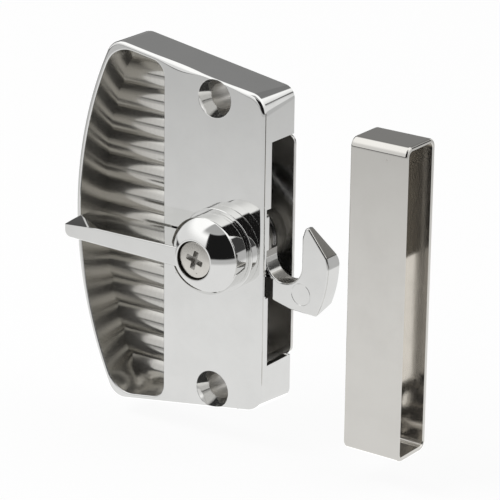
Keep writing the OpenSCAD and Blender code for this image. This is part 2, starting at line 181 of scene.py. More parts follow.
class Bench:
    """Modelling steps on Blender's operators, each of which starts from a clear selection."""

    @staticmethod
    def clear() -> None:
        """Deselect everything and leave edit mode."""
        if bpy.context.mode != "OBJECT":
            bpy.ops.object.mode_set(mode="OBJECT")
        bpy.ops.object.select_all(action="DESELECT")

    @staticmethod
    def pick(piece: bpy.types.Object) -> None:
        """Select one piece and make it the active one.

        Args:
            piece: piece to work on next.
        """
        Bench.clear()
        piece.select_set(True)
        bpy.context.view_layer.objects.active = piece

    @staticmethod
    def loft(name: str, rings: Sequence[Ring]) -> bpy.types.Object:
        """Closed solid through rings of equal count, by extruding a capped circle.

        Args:
            name: name of the new piece.
            rings: rings of points in metres, in order along the solid.

        Returns:
            The new piece, with both ends capped.
        """
        # Points are told apart on a grid of a tenth of a micrometre.
        grid = 1e7
        Bench.clear()
        bpy.ops.mesh.primitive_circle_add(
            vertices=len(rings[0]), radius=MM, fill_type="NGON", location=(0, 0, 0))
        piece = bpy.context.object
        piece.name = name
        piece.data.name = name
        bpy.ops.object.mode_set(mode="EDIT")
        shape = bmesh.from_edit_mesh(piece.data)
        shape.faces.ensure_lookup_table()
        order = list(shape.faces[0].verts)
        for vert, point in zip(order, rings[0]):
            vert.co = point
        bmesh.update_edit_mesh(piece.data)
        for last, ring in zip(rings, rings[1:]):
            bpy.ops.mesh.extrude_region_move()
            shape = bmesh.from_edit_mesh(piece.data)
            places = {tuple(round(c * grid) for c in p): i for i, p in enumerate(last)}
            for vert in [v for v in shape.verts if v.select]:
                vert.co = ring[places[tuple(round(c * grid) for c in vert.co)]]
            bmesh.update_edit_mesh(piece.data)
        bpy.ops.mesh.select_all(action="SELECT")
        bpy.ops.mesh.normals_make_consistent(inside=False)
        bpy.ops.object.mode_set(mode="OBJECT")
        return piece

    @staticmethod
    def prism(name: str, points: Iterable[Flat], near: float, far: float) -> bpy.types.Object:
        """Flat outline in X and Z carried between two depths."""
        flat = list(points)
        return Bench.loft(name, [[spot(x, d, z) for x, z in flat] for d in (near, far)])

    @staticmethod
    def pillow(name: str, points: Sequence[Flat], near: float, far: float, front: float,
               rear: float, steps: int = 5) -> bpy.types.Object:
        """Flat outline carried between two depths, with rounded edges.

        Args:
            name: name of the new piece.
            points: outline in X and Z.
            near: depth of the front.
            far: depth of the back.
            front: radius of the round at the front.
            rear: radius of the round at the back.
            steps: steps of each round.

        Returns:
            The new piece.
        """
        stations = [(near + deep, inset) for inset, deep in reversed(quarter(front, steps))]
        stations += [(far - deep, inset) for inset, deep in quarter(rear, steps)]
        rings = [[spot(x, d, z) for x, z in shrunk(points, inset)] for d, inset in stations]
        return Bench.loft(name, rings)

    @staticmethod
    def turned(name: str, centre: Flat, profile: Sequence[Flat], sides: int = 96) -> bpy.types.Object:
        """Solid of revolution about +Y.

        Args:
            name: name of the new piece.
            centre: X and Z of the axis.
            profile: radius and depth of each step of the profile.
            sides: number of points round the axis.

        Returns:
            The new piece.
        """
        turns = [math.tau * i / sides for i in range(sides)]
        rings = [[spot(centre[0] + r * math.cos(a), d, centre[1] + r * math.sin(a)) for a in turns]
                 for r, d in profile]
        return Bench.loft(name, rings)

    @staticmethod
    def pin(name: str, centre: Flat, radius: float, near: float, far: float,
            sides: int = 96) -> bpy.types.Object:
        """Plain round bar about +Y between two depths, which cuts a hole or leaves a post."""
        return Bench.turned(name, centre, [(radius, near), (radius, far)], sides)

    @staticmethod
    def block(name: str, low: Vector, high: Vector) -> bpy.types.Object:
        """Cube primitive stretched between two corners.

        Args:
            name: name of the new piece.
            low: corner with the least coordinates, in metres.
            high: corner with the greatest coordinates, in metres.

        Returns:
            The new piece.
        """
        Bench.clear()
        bpy.ops.mesh.primitive_cube_add(size=1, location=(0, 0, 0))
        piece = bpy.context.object
        piece.name = name
        size, middle = high - low, (high + low) / 2
        piece.data.transform(Matrix.Translation(middle) @ Matrix.Diagonal((*size, 1)))
        return piece

    @staticmethod
    def combine(piece: bpy.types.Object, tool: bpy.types.Object, how: Cut) -> None:
        """Change a piece by another solid.

        Args:
            piece: piece to change.
            tool: the other solid, which is used up.
            how: what the tool does to the piece.
        """
        Bench.pick(piece)
        step = piece.modifiers.new("shape", "BOOLEAN")
        step.object = tool
        step.operation = how.value
        step.solver = "EXACT"
        bpy.ops.object.modifier_apply(modifier=step.name)
        bpy.data.objects.remove(tool)

    @staticmethod
    def round_edges(piece: bpy.types.Object, test: EdgeTest, width: float, steps: int = 3) -> None:
        """Round the edges that a test picks by their two ends.

        Args:
            piece: piece to work on.
            test: says for two end points whether the edge is meant.
            width: width of the round in millimetres.
            steps: segments of the round.
        """
        Bench.pick(piece)
        bpy.ops.object.mode_set(mode="EDIT")
        bpy.ops.mesh.select_mode(type="EDGE")
        bpy.ops.mesh.select_all(action="DESELECT")
        shape = bmesh.from_edit_mesh(piece.data)
        for edge in shape.edges:
            if test(edge.verts[0].co, edge.verts[1].co):
                edge.select_set(True)
        bmesh.update_edit_mesh(piece.data)
        bpy.ops.mesh.bevel(offset=width * MM, segments=steps, profile=0.5, affect="EDGES",
                           clamp_overlap=False)
        bpy.ops.object.mode_set(mode="OBJECT")

    @staticmethod
    def round_creases(piece: bpy.types.Object, angle: float, width: float, where: EdgeTest) -> None:
        """Round the creases of a place that are sharper than an angle.

        Args:
            piece: piece to work on.
            angle: least angle between the two faces, in degrees.
            width: width of the round in millimetres.
            where: says for two end points whether the edge lies in the place meant.
        """
        shape = bmesh.new()
        shape.from_mesh(piece.data)
        sharp = set()
        for edge in shape.edges:
            if edge.is_manifold and edge.calc_face_angle() > math.radians(angle):
                sharp.add(frozenset(tuple(v.co) for v in edge.verts))
        shape.free()

        def test(a: Vector, b: Vector) -> bool:
            """Sharp edges of the place."""
            return frozenset((tuple(a), tuple(b))) in sharp and where(a, b)

        Bench.round_edges(piece, test, width)

    @staticmethod
    def mark_finish_and_shade(piece: bpy.types.Object, grade: Grade) -> None:
        """Store on each face its grade, from POLISHED to PAINTED_SHADE: how raw it is up to BARE, painted
        shade beyond.

        Args:
            piece: finished piece.
            grade: gives the value for the X, depth and Z of a face's middle, in millimetres.
        """
        raw = piece.data.attributes.new("raw", "FLOAT", "FACE")
        for face, value in zip(piece.data.polygons, raw.data):
            x, y, z = face.center / MM
            value.value = grade(x, y + FRONT, z)

    @staticmethod
    def slice(piece: bpy.types.Object, point: Vector, normal: Vector, size: float = 0.2) -> None:
        """Cut away what lies on one side of a plane, by a block with a face on the plane.

        Args:
            piece: piece to cut.
            point: point of the plane, in metres.
            normal: unit vector towards the side that goes.
            size: half the block's width and its whole depth, in metres, larger than any piece.
        """
        along = normal.orthogonal().normalized() * size
        across = normal.cross(along)
        near = [point + along + across, point - along + across,
                point - along - across, point + along - across]
        far = [corner + normal * size for corner in near]
        Bench.combine(piece, Bench.loft("half_space", [near, far]), Cut.LESS)

    @staticmethod
    def merge(piece: bpy.types.Object) -> None:
        """Merge points that lie on one another.

        Args:
            piece: piece to clean.
        """
        Bench.pick(piece)
        bpy.ops.object.mode_set(mode="EDIT")
        bpy.ops.mesh.select_all(action="SELECT")
        bpy.ops.mesh.remove_doubles(threshold=SAME)
        bpy.ops.mesh.dissolve_degenerate(threshold=SAME)
        bpy.ops.object.mode_set(mode="OBJECT")

    @staticmethod
    def smooth(piece: bpy.types.Object, angle: float) -> None:
        """Merge doubled points, shade by angle and let large faces set the normals.

        Args:
            piece: piece to finish.
            angle: angle in degrees from which an edge stays sharp.
        """
        Bench.merge(piece)
        bpy.ops.object.shade_smooth_by_angle(angle=math.radians(angle))
        step = piece.modifiers.new("normals", "WEIGHTED_NORMAL")
        step.mode = "FACE_AREA"
        step.weight = 100
        step.keep_sharp = True
        bpy.ops.object.modifier_apply(modifier=step.name)


class Nodes:
    """Small helper that adds and links shader nodes in one tree."""

    def __init__(self, tree: bpy.types.NodeTree) -> None:
        """Start with an empty tree."""
        self.tree = tree
        tree.nodes.clear()

    def add(self, kind: str, **settings: object) -> bpy.types.Node:
        """New node.

        Args:
            kind: type of the node.
            settings: its properties by name, and its inputs by index as in_0, in_1.

        Returns:
            The node.
        """
        node = self.tree.nodes.new(kind)
        for name, value in settings.items():
            if name.startswith("in_"):
                node.inputs[int(name[3:])].default_value = value
            else:
                setattr(node, name, value)
        return node

    def link(self, out: bpy.types.NodeSocket, into: bpy.types.NodeSocket) -> None:
        """Join an output to an input."""
        self.tree.links.new(out, into)

    def feed(self, value: object, into: bpy.types.NodeSocket) -> None:
        """Give an input a value or another socket.

        Args:
            value: number, colour or socket, or None to leave the input alone.
            into: the input.
        """
        if isinstance(value, bpy.types.NodeSocket):
            self.link(value, into)
        elif value is not None:
            into.default_value = value

    def math(self, how: str, a: object, b: object = None, clamp: bool = False) -> bpy.types.NodeSocket:
        """Math node on two values or sockets.

        Args:
            how: operation.
            a: first value or socket.
            b: second value or socket.
            clamp: keep the result between 0 and 1.

        Returns:
            The result's socket.
        """
        node = self.add("ShaderNodeMath", operation=how, use_clamp=clamp)
        for socket, value in zip(node.inputs, (a, b)):
            self.feed(value, socket)
        return node.outputs[0]

    def mix(self, share: bpy.types.NodeSocket, first: object, second: object) -> bpy.types.NodeSocket:
        """Blend of two numbers.

        Args:
            share: socket with the second one's share.
            first: number or socket that counts at share 0.
            second: number or socket that counts at share 1.

        Returns:
            The result's socket.
        """
        node = self.add("ShaderNodeMix", data_type="FLOAT")
        for value, index in ((share, 0), (first, 2), (second, 3)):
            self.feed(value, node.inputs[index])
        return node.outputs[0]

    def tint(self, share: bpy.types.NodeSocket, first: object, second: object) -> bpy.types.NodeSocket:
        """Blend of two colours.

        Args:
            share: socket with the second one's share.
            first: colour or socket that counts at share 0.
            second: colour or socket that counts at share 1.

        Returns:
            The result's socket.
        """
        node = self.add("ShaderNodeMix", data_type="RGBA")
        for value, index in ((share, 0), (first, 6), (second, 7)):
            self.feed((*value, 1) if isinstance(value, tuple) else value, node.inputs[index])
        return node.outputs[2]

    def band(self, value: bpy.types.NodeSocket, low: float, high: float,
             start: float = 0.0, end: float = 1.0) -> bpy.types.NodeSocket:
        """Straight slope of a value between two limits.

        Args:
            value: socket that drives the slope.
            low: value at which the slope starts.
            high: value at which it ends.
            start: result at low.
            end: result at high.

        Returns:
            The result's socket.
        """
        node = self.add("ShaderNodeMapRange", in_1=low, in_2=high, in_3=start, in_4=end)
        self.link(value, node.inputs[0])
        return node.outputs[0]

    def ramp(self, value: bpy.types.NodeSocket, low: float, high: float,
             start: float = 0.0, end: float = 1.0) -> bpy.types.NodeSocket:
        """Smooth step of a value.

        Args:
            value: socket that drives the step.
            low: value at which the step starts.
            high: value at which it ends.
            start: result at low.
            end: result at high.

        Returns:
            The result's socket.
        """
        out = self.band(value, low, high, start, end)
        out.node.interpolation_type = "SMOOTHSTEP"
        return out

    def relief(self, height: bpy.types.NodeSocket, strength: float, millimetres: float,
               skin: bpy.types.Node) -> None:
        """Bump in a shader's normal.

        Args:
            height: socket with the height, from 0 to 1.
            strength: strength of the bump.
            millimetres: height of the relief at 1.
            skin: shader that it goes to.
        """
        bump = self.add("ShaderNodeBump", in_0=strength, in_1=millimetres * MM)
        self.link(height, bump.inputs["Height"])
        self.link(bump.outputs[0], skin.inputs["Normal"])


class Effects:
    """Shader node groups that several metals use. Each is built once."""

    @staticmethod
    def group(name: str, inputs: dict[str, float],
              outputs: Sequence[str]) -> tuple[bpy.types.NodeTree, bool]:
        """Group with float inputs and outputs.

        Args:
            name: name of the group.
            inputs: names of the inputs with their values.
            outputs: names of the outputs.

        Returns:
            The group, and whether it is new and so still empty.
        """
        if name in bpy.data.node_groups:
            return bpy.data.node_groups[name], False
        tree = bpy.data.node_groups.new(name, "ShaderNodeTree")
        for title, value in inputs.items():
            socket = tree.interface.new_socket(name=title, in_out="INPUT", socket_type="NodeSocketFloat")
            socket.default_value = value
        for title in outputs:
            tree.interface.new_socket(name=title, in_out="OUTPUT", socket_type="NodeSocketFloat")
        return tree, True

    @staticmethod
    def start(tree: bpy.types.NodeTree) -> tuple[Nodes, bpy.types.Node, bpy.types.Node,
                                                 bpy.types.NodeSocket]:
        """First nodes of a group.

        Args:
            tree: the group.

        Returns:
            The tree's helper, its input and output nodes, and the Object coordinates.
        """
        n = Nodes(tree)
        given, out = n.add("NodeGroupInput"), n.add("NodeGroupOutput")
        return n, given, out, n.add("ShaderNodeTexCoord").outputs["Object"]

    @staticmethod
    def polish() -> bpy.types.NodeTree:
        """Slow waves that polishing leaves in a plated face, and cloudy changes of gloss.

        Returns:
            The node group.
        """
        tree, new = Effects.group("polish", {"Wave Scale": 60.0, "Cloud Scale": 150.0}, ("Height", "Cloud"))
        if new:
            n, given, out, place = Effects.start(tree)
            wave = n.add("ShaderNodeTexNoise", in_3=1.0, in_4=0.4)
            cloud = n.add("ShaderNodeTexNoise", in_3=5.0, in_4=0.6)
            for noise, title in ((wave, "Wave Scale"), (cloud, "Cloud Scale")):
                n.link(place, noise.inputs["Vector"])
                n.link(given.outputs[title], noise.inputs["Scale"])
            n.link(wave.outputs[0], out.inputs["Height"])
            n.link(n.ramp(cloud.outputs[0], 0.3, 0.75), out.inputs["Cloud"])
        return tree

    @staticmethod
    def pits() -> bpy.types.NodeTree:
        """Sparse pin holes and specks of dust in the plating, as a mask.

        Returns:
            The node group.
        """
        tree, new = Effects.group("pits", {"Scale": 220.0, "Size": 0.16, "Share": 0.08}, ("Mask",))
        if new:
            n, given, out, place = Effects.start(tree)
            cells = n.add("ShaderNodeTexVoronoi", feature="F1", distance="EUCLIDEAN")
            n.link(place, cells.inputs["Vector"])
            n.link(given.outputs["Scale"], cells.inputs["Scale"])
            chance = n.add("ShaderNodeSeparateColor")
            n.link(cells.outputs["Color"], chance.inputs[0])
            few = n.math("LESS_THAN", chance.outputs[0], given.outputs["Share"])
            edge = n.math("MULTIPLY", given.outputs["Size"], chance.outputs[1])
            near = n.math("LESS_THAN", cells.outputs["Distance"], edge)
            n.link(n.math("MULTIPLY", few, near), out.inputs["Mask"])
        return tree

    @staticmethod
    def grain() -> bpy.types.NodeTree:
        """Fine drawn lines along one axis, for sheet, wire and washers.

        Returns:
            The node group.
        """
        scales = {"Along X": 40.0, "Along Y": 40.0, "Along Z": 2500.0}
        tree, new = Effects.group("grain", scales, ("Lines",))
        if new:
            n, given, out, place = Effects.start(tree)
            stretch = n.add("ShaderNodeCombineXYZ")
            for i, title in enumerate(scales):
                n.link(given.outputs[title], stretch.inputs[i])
            scaled = n.add("ShaderNodeVectorMath", operation="MULTIPLY")
            n.link(place, scaled.inputs[0])
            n.link(stretch.outputs[0], scaled.inputs[1])
            lines = n.add("ShaderNodeTexNoise", in_2=1.0, in_3=3.0, in_4=0.6)
            n.link(scaled.outputs[0], lines.inputs["Vector"])
            n.link(lines.outputs[0], out.inputs["Lines"])
        return tree


def blank(name: str) -> tuple[bpy.types.Material, Nodes, bpy.types.Node]:
    """New material with a Principled shader on its output.

    Args:
        name: name of the material.

    Returns:
        The material, its tree's helper and the shader.
    """
    material = bpy.data.materials.new(name)
    material.use_nodes = True
    n = Nodes(material.node_tree)
    skin = n.add("ShaderNodeBsdfPrincipled")
    n.link(skin.outputs[0], n.add("ShaderNodeOutputMaterial").inputs[0])
    return material, n, skin


@dataclass(frozen=True)
class Chrome:
    """Bright plate on a casting or pressing.

    Attributes:
        name: name of the material.
        colour: colour of the plate.
        dull: colour in its cloudier places and pin holes.
        gloss: least roughness.
        haze: what the clouds add to the roughness.
        wave: height of the polishing waves in millimetres.
        wave_scale: waves per metre.
        cloud_scale: clouds per metre.
        cloud_share: how much of the dull colour the clouds take.
        pit_scale: cells per metre in which a pin hole may lie.
        pit_size: size of the largest pin hole in its cell.
        pit_share: share of cells that hold a pin hole.
        pit_haze: what a pin hole adds to the roughness.
        recess: colour where the polishing wheel didn't reach.
        bare: colour of inner walls, which hardly took the plate.
        stain_and_shade: near-black colour, painted shade in crevices and on shaded faces.
        recess_gloss: roughness of the recesses.
        recess_metal: how metallic recesses and inner walls are, under their oxide.
        bare_gloss: roughness of the inner walls.
    """

    name: str
    colour: Colour = (0.80, 0.80, 0.79)
    dull: Colour = (0.70, 0.70, 0.69)
    gloss: float = 0.035
    haze: float = 0.05
    wave: float = 0.02
    wave_scale: float = 55.0
    cloud_scale: float = 140.0
    cloud_share: float = 0.25
    pit_scale: float = 260.0
    pit_size: float = 0.12
    pit_share: float = 0.05
    pit_haze: float = 0.25
    recess: Colour = (0.53, 0.515, 0.48)
    bare: Colour = (0.62, 0.605, 0.575)
    # Painted shade: the near-black colour that grades past BARE darken towards.
    stain_and_shade: Colour = (0.09, 0.085, 0.075)
    recess_gloss: float = 0.18
    recess_metal: float = 0.86
    bare_gloss: float = 0.34

    def build(self) -> bpy.types.Material:
        """Material with its waves, clouds, pin holes, unpolished recesses and painted shade past BARE.

        Returns:
            The material.
        """
        material, n, skin = blank(self.name)
        polish = n.add("ShaderNodeGroup", node_tree=Effects.polish(), in_0=self.wave_scale,
                       in_1=self.cloud_scale)
        pits = n.add("ShaderNodeGroup", node_tree=Effects.pits(), in_0=self.pit_scale,
                     in_1=self.pit_size, in_2=self.pit_share)
        cloud, mask = polish.outputs["Cloud"], pits.outputs["Mask"]
        cloudy = n.math("MULTIPLY", cloud, self.cloud_share)
        colour = n.tint(n.math("ADD", cloudy, mask, clamp=True), self.colour, self.dull)
        haze = n.math("MULTIPLY", cloud, self.haze)
        spots = n.math("MULTIPLY", mask, self.pit_haze)
        rough = n.math("ADD", n.math("ADD", haze, spots), self.gloss)
        raw = n.add("ShaderNodeAttribute", attribute_name="raw").outputs["Fac"]
        # Past BARE the colour goes towards near black: painted shade in crevices and on shaded faces.
        for low, high, tint, gloss in ((POLISHED, RECESS, self.recess, self.recess_gloss),
                                       (RECESS, BARE, self.bare, self.bare_gloss),
                                       (BARE, PAINTED_SHADE, self.stain_and_shade, self.bare_gloss)):
            share = n.band(raw, low, high)
            colour = n.tint(share, colour, tint)
            rough = n.mix(share, rough, gloss)
        n.link(n.band(raw, POLISHED, RECESS, 1.0, self.recess_metal), skin.inputs["Metallic"])
        n.link(colour, skin.inputs["Base Color"])
        n.link(rough, skin.inputs["Roughness"])
        n.relief(polish.outputs["Height"], 1.0, self.wave, skin)
        return material


@dataclass(frozen=True)
class Steel:
    """Plain or zinc plated steel with drawn lines.

    Attributes:
        name: name of the material.
        colour: colour of the metal.
        stain_and_shade: colour of its darker lines and clouds.
        gloss: least roughness.
        haze: what lines and clouds add to the roughness.
        along: noise scale along X, Y and Z, least along the lines.
        wave_scale: waves per metre.
        cloud_scale: clouds per metre.
        line_depth: depth of the drawn lines in millimetres.
        line_strength: strength of their bump.
    """

    name: str
    colour: Colour
    stain_and_shade: Colour
    gloss: float = 0.22
    haze: float = 0.2
    along: tuple[float, float, float] = (60.0, 60.0, 2500.0)
    wave_scale: float = 90.0
    cloud_scale: float = 260.0
    line_depth: float = 0.01
    line_strength: float = 0.5

    def build(self) -> bpy.types.Material:
        """Material with its lines and clouds.

        Returns:
            The material.
        """
        material, n, skin = blank(self.name)
        skin.inputs["Metallic"].default_value = 1.0
        polish = n.add("ShaderNodeGroup", node_tree=Effects.polish(), in_0=self.wave_scale,
                       in_1=self.cloud_scale)
        grain = n.add("ShaderNodeGroup", node_tree=Effects.grain(),
                      in_0=self.along[0], in_1=self.along[1], in_2=self.along[2])
        lines = grain.outputs["Lines"]
        mixed = n.math("MULTIPLY", polish.outputs["Cloud"], lines)
        n.link(n.tint(mixed, self.colour, self.stain_and_shade), skin.inputs["Base Color"])
        n.link(n.math("ADD", n.math("MULTIPLY", mixed, self.haze), self.gloss), skin.inputs["Roughness"])
        n.relief(lines, self.line_strength, self.line_depth, skin)
        return material


class Finishes:
    """All finishes of the latch, built once and named as the record's slots."""

    def __init__(self) -> None:
        """Build the materials."""
        kinds: dict[str, Chrome | Steel] = {
            "chrome_cast": Chrome("chrome_cast"),
            "chrome_pressed": Chrome("chrome_pressed", colour=(0.70, 0.685, 0.655), dull=(0.64, 0.62, 0.59),
                                     wave=0.008, haze=0.08, pit_share=0.02, recess=(0.55, 0.52, 0.48)),
            "screw_steel": Chrome("screw_steel", colour=(0.74, 0.72, 0.68), dull=(0.5, 0.48, 0.44),
                                  gloss=0.14, haze=0.16, wave=0.01, pit_share=0.1),
            "washer_steel": Steel("washer_steel", (0.55, 0.55, 0.53), (0.36, 0.35, 0.33), gloss=0.3),
            "spring_steel": Steel("spring_steel", (0.62, 0.62, 0.63), (0.42, 0.42, 0.43),
                                  along=(900.0, 900.0, 900.0)),
            "plate_steel": Steel("plate_steel", (0.78, 0.77, 0.75), (0.6, 0.59, 0.57), gloss=0.14,
                                 along=(2200.0, 60.0, 50.0)),
            "rivet_steel": Steel("rivet_steel", (0.66, 0.66, 0.66), (0.45, 0.45, 0.45),
                                 along=(700.0, 700.0, 700.0)),
        }
        self.made = {slot: kind.build() for slot, kind in kinds.items()}

    def dress(self, piece: bpy.types.Object, slot: str) -> None:
        """Give a whole piece the finish of a slot."""
        piece.data.materials.clear()
        piece.data.materials.append(self.made[slot])

    def settle(self, piece: bpy.types.Object, slot: str, body: Body, *nodes: str) -> None:
        """Finish a piece: give it the material of its slot, hang it on its body and hide the CAD nodes that
        it stands for.

        Args:
            piece: finished piece.
            slot: material slot of the record.
            body: body that it rides on.
            nodes: CAD nodes that it replaces.
        """
        self.dress(piece, slot)
        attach(piece, body.value)
        if nodes:
            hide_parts(*nodes)
        LOG.info("%s: %d faces", piece.name, len(piece.data.polygons))


@dataclass(frozen=True)
class Outline:
    """Outline with sloped ends, a curved left side and a straight right side.

    Attributes:
        half_height: height of the sloped edge on the hole line.
        slope: slope of the two ends in degrees.
        radius: radius of the curved side.
        reach: distance from the hole line to the outermost point of the curved side.
        right: X of the straight side.
        left_round: round of the corners at the curved side.
        right_round: round of the corners at the straight side.
        inset: distance by which the ends and the curved side are set in.
        side_steps: steps on the curved side.
        round_steps: steps on each corner.
    """

    half_height: float
    slope: float
    radius: float
    reach: float
    right: float
    left_round: float
    right_round: float
    inset: float = 0.0
    side_steps: int = 40
    round_steps: int = 10

    def points(self, inset: float = 0.0, end_steps: int = 1) -> list[Flat]:
        """Points round the outline, set in by a further distance.

        Args:
            inset: distance by which all edges move inwards.
            end_steps: steps on each sloped end.

        Returns:
            Points in X and Z, from the right side over the top.
        """
        deep = self.inset + inset
        k = math.tan(math.radians(self.slope))
        slant = math.sqrt(1 + k * k)
        edge = self.half_height / slant - deep
        middle = self.radius - self.reach
        right = self.right - inset
        r_left, r_right = self.left_round - inset, self.right_round - inset
        a = edge - r_left - middle * k / slant
        b = math.sqrt((self.radius - deep - r_left) ** 2 - a * a)
        left_c = (middle + (a * k - b) / slant, (a + b * k) / slant)
        right_c = (right - r_right, (edge - r_right) * slant - (right - r_right) * k)
        lean = 90 - self.slope
        turn = math.degrees(math.atan2(left_c[1], left_c[0] - middle))
        upper = arc(right_c, r_right, 0, lean, self.round_steps)
        corner = arc(left_c, r_left, lean, turn, self.round_steps)
        start, stop = upper[-1], corner[0]
        for i in range(1, end_steps):
            share = i / end_steps
            upper.append((start[0] + (stop[0] - start[0]) * share, start[1] + (stop[1] - start[1]) * share))
        upper += corner
        side = arc((middle, 0), self.radius - deep, turn, 360 - turn, self.side_steps)[1:-1]
        lower = [(x, -z) for x, z in reversed(upper)]
        return upper + side + lower


@dataclass
class Housing:
    """Cast housing with the ribbed pull, the side slot and the screw holes."""

    depth: float = FRONT
    side_x: float = 14.9
    wall: float = 1.4
    plate: float = 2.2
    edge_round: float = 0.9
    edge_least: float = 0.45
    buff_x: float = -11.0
    buff_reach: float = 8.6
    buff_width: float = 1.75
    buff_depth: float = 1.3
    corner_buff_x: float = 9.5
    corner_buff_reach: float = 7.5
    corner_buff: float = 0.35
    top_zone: float = 30.0
    side_zone: float = 6.0
    side_blend: float = 5.0
    worn_round: float = 5.4
    end_steps: int = 44
    hole_z: float = HOLE_Z
    hole_radius: float = 3.2
    sink_radius: float = 4.88
    sink_depth: float = 3.1
    sink_soft: float = 0.06
    sink_raw: float = 0.12
    boss_radius: float = 7.4
    post_radius: float = 2.1
    post_gap: float = 0.9
    rivet_depth: float = 5.5
    rim: float = 1.4
    rim_round: float = 0.35
    pull_depth: float = 11.25
    rib_height: float = 1.3
    rib_pitch: float = 6.65
    rib_fade_x: float = -31.0
    rib_fade: float = 13.0
    # Painted highlight: how far the ribs' grade drops, lightening their colour, at the pull's right end.
    rib_highlight: float = 0.3
    pull_x: float = -15.4
    slot_half: float = 29.0
    slot_front: float = 3.3
    slot_low_front: float = 2.5
    pocket_radius: float = 16.4
    pocket_front: float = 1.5
    pivot: Flat = PIVOT
    bore: float = 6.05
    rivet: Flat = RIVET
    body: Outline = field(default_factory=lambda: Outline(43.0, 9.1, 103.0, 43.4, 14.9, 5.0, 3.2))
    pull: Outline = field(default_factory=lambda: Outline(43.0, 9.1, 103.0, 43.4, -15.4, 7.5, 4.0, 1.4))

    def roll(self, x: float, z: float) -> Flat:
        """How far the polishing wheel rolled the front edge at a point of the outline.

        Args:
            x: X of the point.
            z: Z of the point.

        Returns:
            Width on the front face and depth on the side.
        """
        if z < self.top_zone or x < self.buff_x - self.buff_reach:
            return self.edge_round, self.edge_round

        def bump(middle: float, reach: float) -> float:
            """Smooth hump of height 1 about a middle."""
            share = min(abs(x - middle) / reach, 1)
            return (1 + math.cos(math.pi * share)) / 2

        near_pull = max(0.0, min(1.0, (self.buff_x - x) / self.buff_reach))
        least = self.edge_least + (self.edge_round - self.edge_least) * near_pull
        near_side = max(0.0, min(1.0, (x - self.side_zone) / self.side_blend))
        least += (self.edge_round - self.edge_least) * near_side
        width = least + (self.buff_width - least) * bump(self.buff_x, self.buff_reach)
        width += self.corner_buff * bump(self.corner_buff_x, self.corner_buff_reach)
        return width, self.edge_round + (self.buff_depth - self.edge_round) * (1 - near_pull)

    def shell(self) -> bpy.types.Object:
        """Outer body with its front edge and right corners rolled off by the polishing wheel.

        Returns:
            The new piece.
        """
        worn = replace(self.body, right_round=self.worn_round)
        outer = worn.points(0.0, self.end_steps)
        inner = worn.points(1.0, self.end_steps)
        rings = [[spot(x, self.depth, z) for x, z in self.body.points(0.0, self.end_steps)]]
        for across, down in quarter(1.0, 8):
            ring = []
            for (x, z), (ix, iz) in zip(outer, inner):
                width, deep = self.roll(x, z)
                inset = width * across
                ring.append(spot(x + (ix - x) * inset, deep * down, z + (iz - z) * inset))
            rings.append(ring)
        return Bench.loft("housing_casting", rings)

    def grade(self, x: float, depth: float, z: float) -> float:
        """How raw the casting is: recesses are unpolished and inner walls bare, and the ribs carry a painted
        highlight towards the pull's right end.

        Args:
            x: X of the point.
            depth: its depth behind the front face.
            z: Z of the point.

        Returns:
            The grade, as Bench.mark_finish_and_shade stores it.
        """
        k = math.tan(math.radians(self.body.slope))
        slant = math.sqrt(1 + k * k)
        from_end = (self.body.half_height - (abs(z) + x * k)) / slant
        from_side = self.body.radius - math.hypot(x - self.body.radius + self.body.reach, z)
        if x < self.pull_x + 0.05 and depth > 0.2 and min(from_end, from_side) > self.rim - 0.06:
            on_ribs = depth > self.pull_depth - self.rib_height - 0.1
            # The ribs' colour lightens towards the pull's right end as a painted highlight; their roughness
            # drops there too.
            highlight = max(0.0, min(1.0, (x - self.rib_fade_x) / self.rib_fade))
            return RECESS - self.rib_highlight * highlight if on_ribs else RECESS
        if x > self.pull_x + 1 and depth > self.plate - 0.02 and x < self.side_x - self.wall + 0.02:
            if from_end > self.wall - 0.05 and depth < self.depth - 0.02:
                return BARE
        if math.hypot(x, abs(z) - self.hole_z) < self.sink_radius and 0.1 < depth and from_end > 0.2:
            return self.sink_raw
        return POLISHED

    def rib_block(self) -> bpy.types.Object:
        """Scalloped block that stands under the pull's floor.

        Returns:
            The new piece, cut at many X so that its faces can be graded.
        """
        half = self.rib_pitch / 2
        radius = (half ** 2 + self.rib_height ** 2) / (2 * self.rib_height)
        crest = self.pull_depth - self.rib_height
        spread = math.degrees(math.asin(half / radius))
        line: list[Flat] = []
        for i in range(-8, 8):
            bow = arc(((i + 0.5) * self.rib_pitch, crest + radius), radius, 270 - spread, 270 + spread, 12)
            line += bow[1:] if line else bow
        floor = self.pull_depth + 3
        line += [(line[-1][0], floor), (line[0][0], floor)]
        ends = [-50.0] + [-33.0 + 1.5 * i for i in range(14)] + [-10.0]
        return Bench.loft("rib_block", [[spot(x, d, z) for z, d in line] for x in ends])

    def pull_cutter(self) -> bpy.types.Object:
        """Hollow of the finger pull: softened mouth, plain walls, ribbed floor.

        Returns:
            The cutter.
        """
        mouth = [(-1.0, -self.rim_round)]
        mouth += [(deep, -out) for deep, out in quarter(self.rim_round, 5)]
        mouth.append((self.pull_depth + 1, 0.0))
        rings = [[spot(x, d, z) for x, z in self.pull.points(inset)] for d, inset in mouth]
        cutter = Bench.loft("pull_cutter", rings)
        Bench.combine(cutter, self.rib_block(), Cut.LESS)
        return cutter

    def cavity_cutter(self) -> bpy.types.Object:
        """Room for the mechanism, open to the back, round the bosses and rivet posts.

        Returns:
            The cutter.
        """
        flat = self.body.points(self.wall)
        cutter = Bench.prism("cavity_cutter", flat, self.plate, self.depth + 0.5)
        Bench.slice(cutter, spot(self.pull_x + self.wall, 0, 0), Vector((-1, 0, 0)))
        for side in (-1, 1):
            boss = Bench.pin("boss", (0, side * self.hole_z), self.boss_radius, 0, self.depth, 64)
            Bench.combine(cutter, boss, Cut.LESS)
            for x in (-self.rivet[0], self.rivet[0]):
                post = Bench.pin("post", (x, side * self.rivet[1]), self.post_radius, 0,
                                 self.depth - self.post_gap, 32)
                Bench.combine(cutter, post, Cut.LESS)
        return cutter

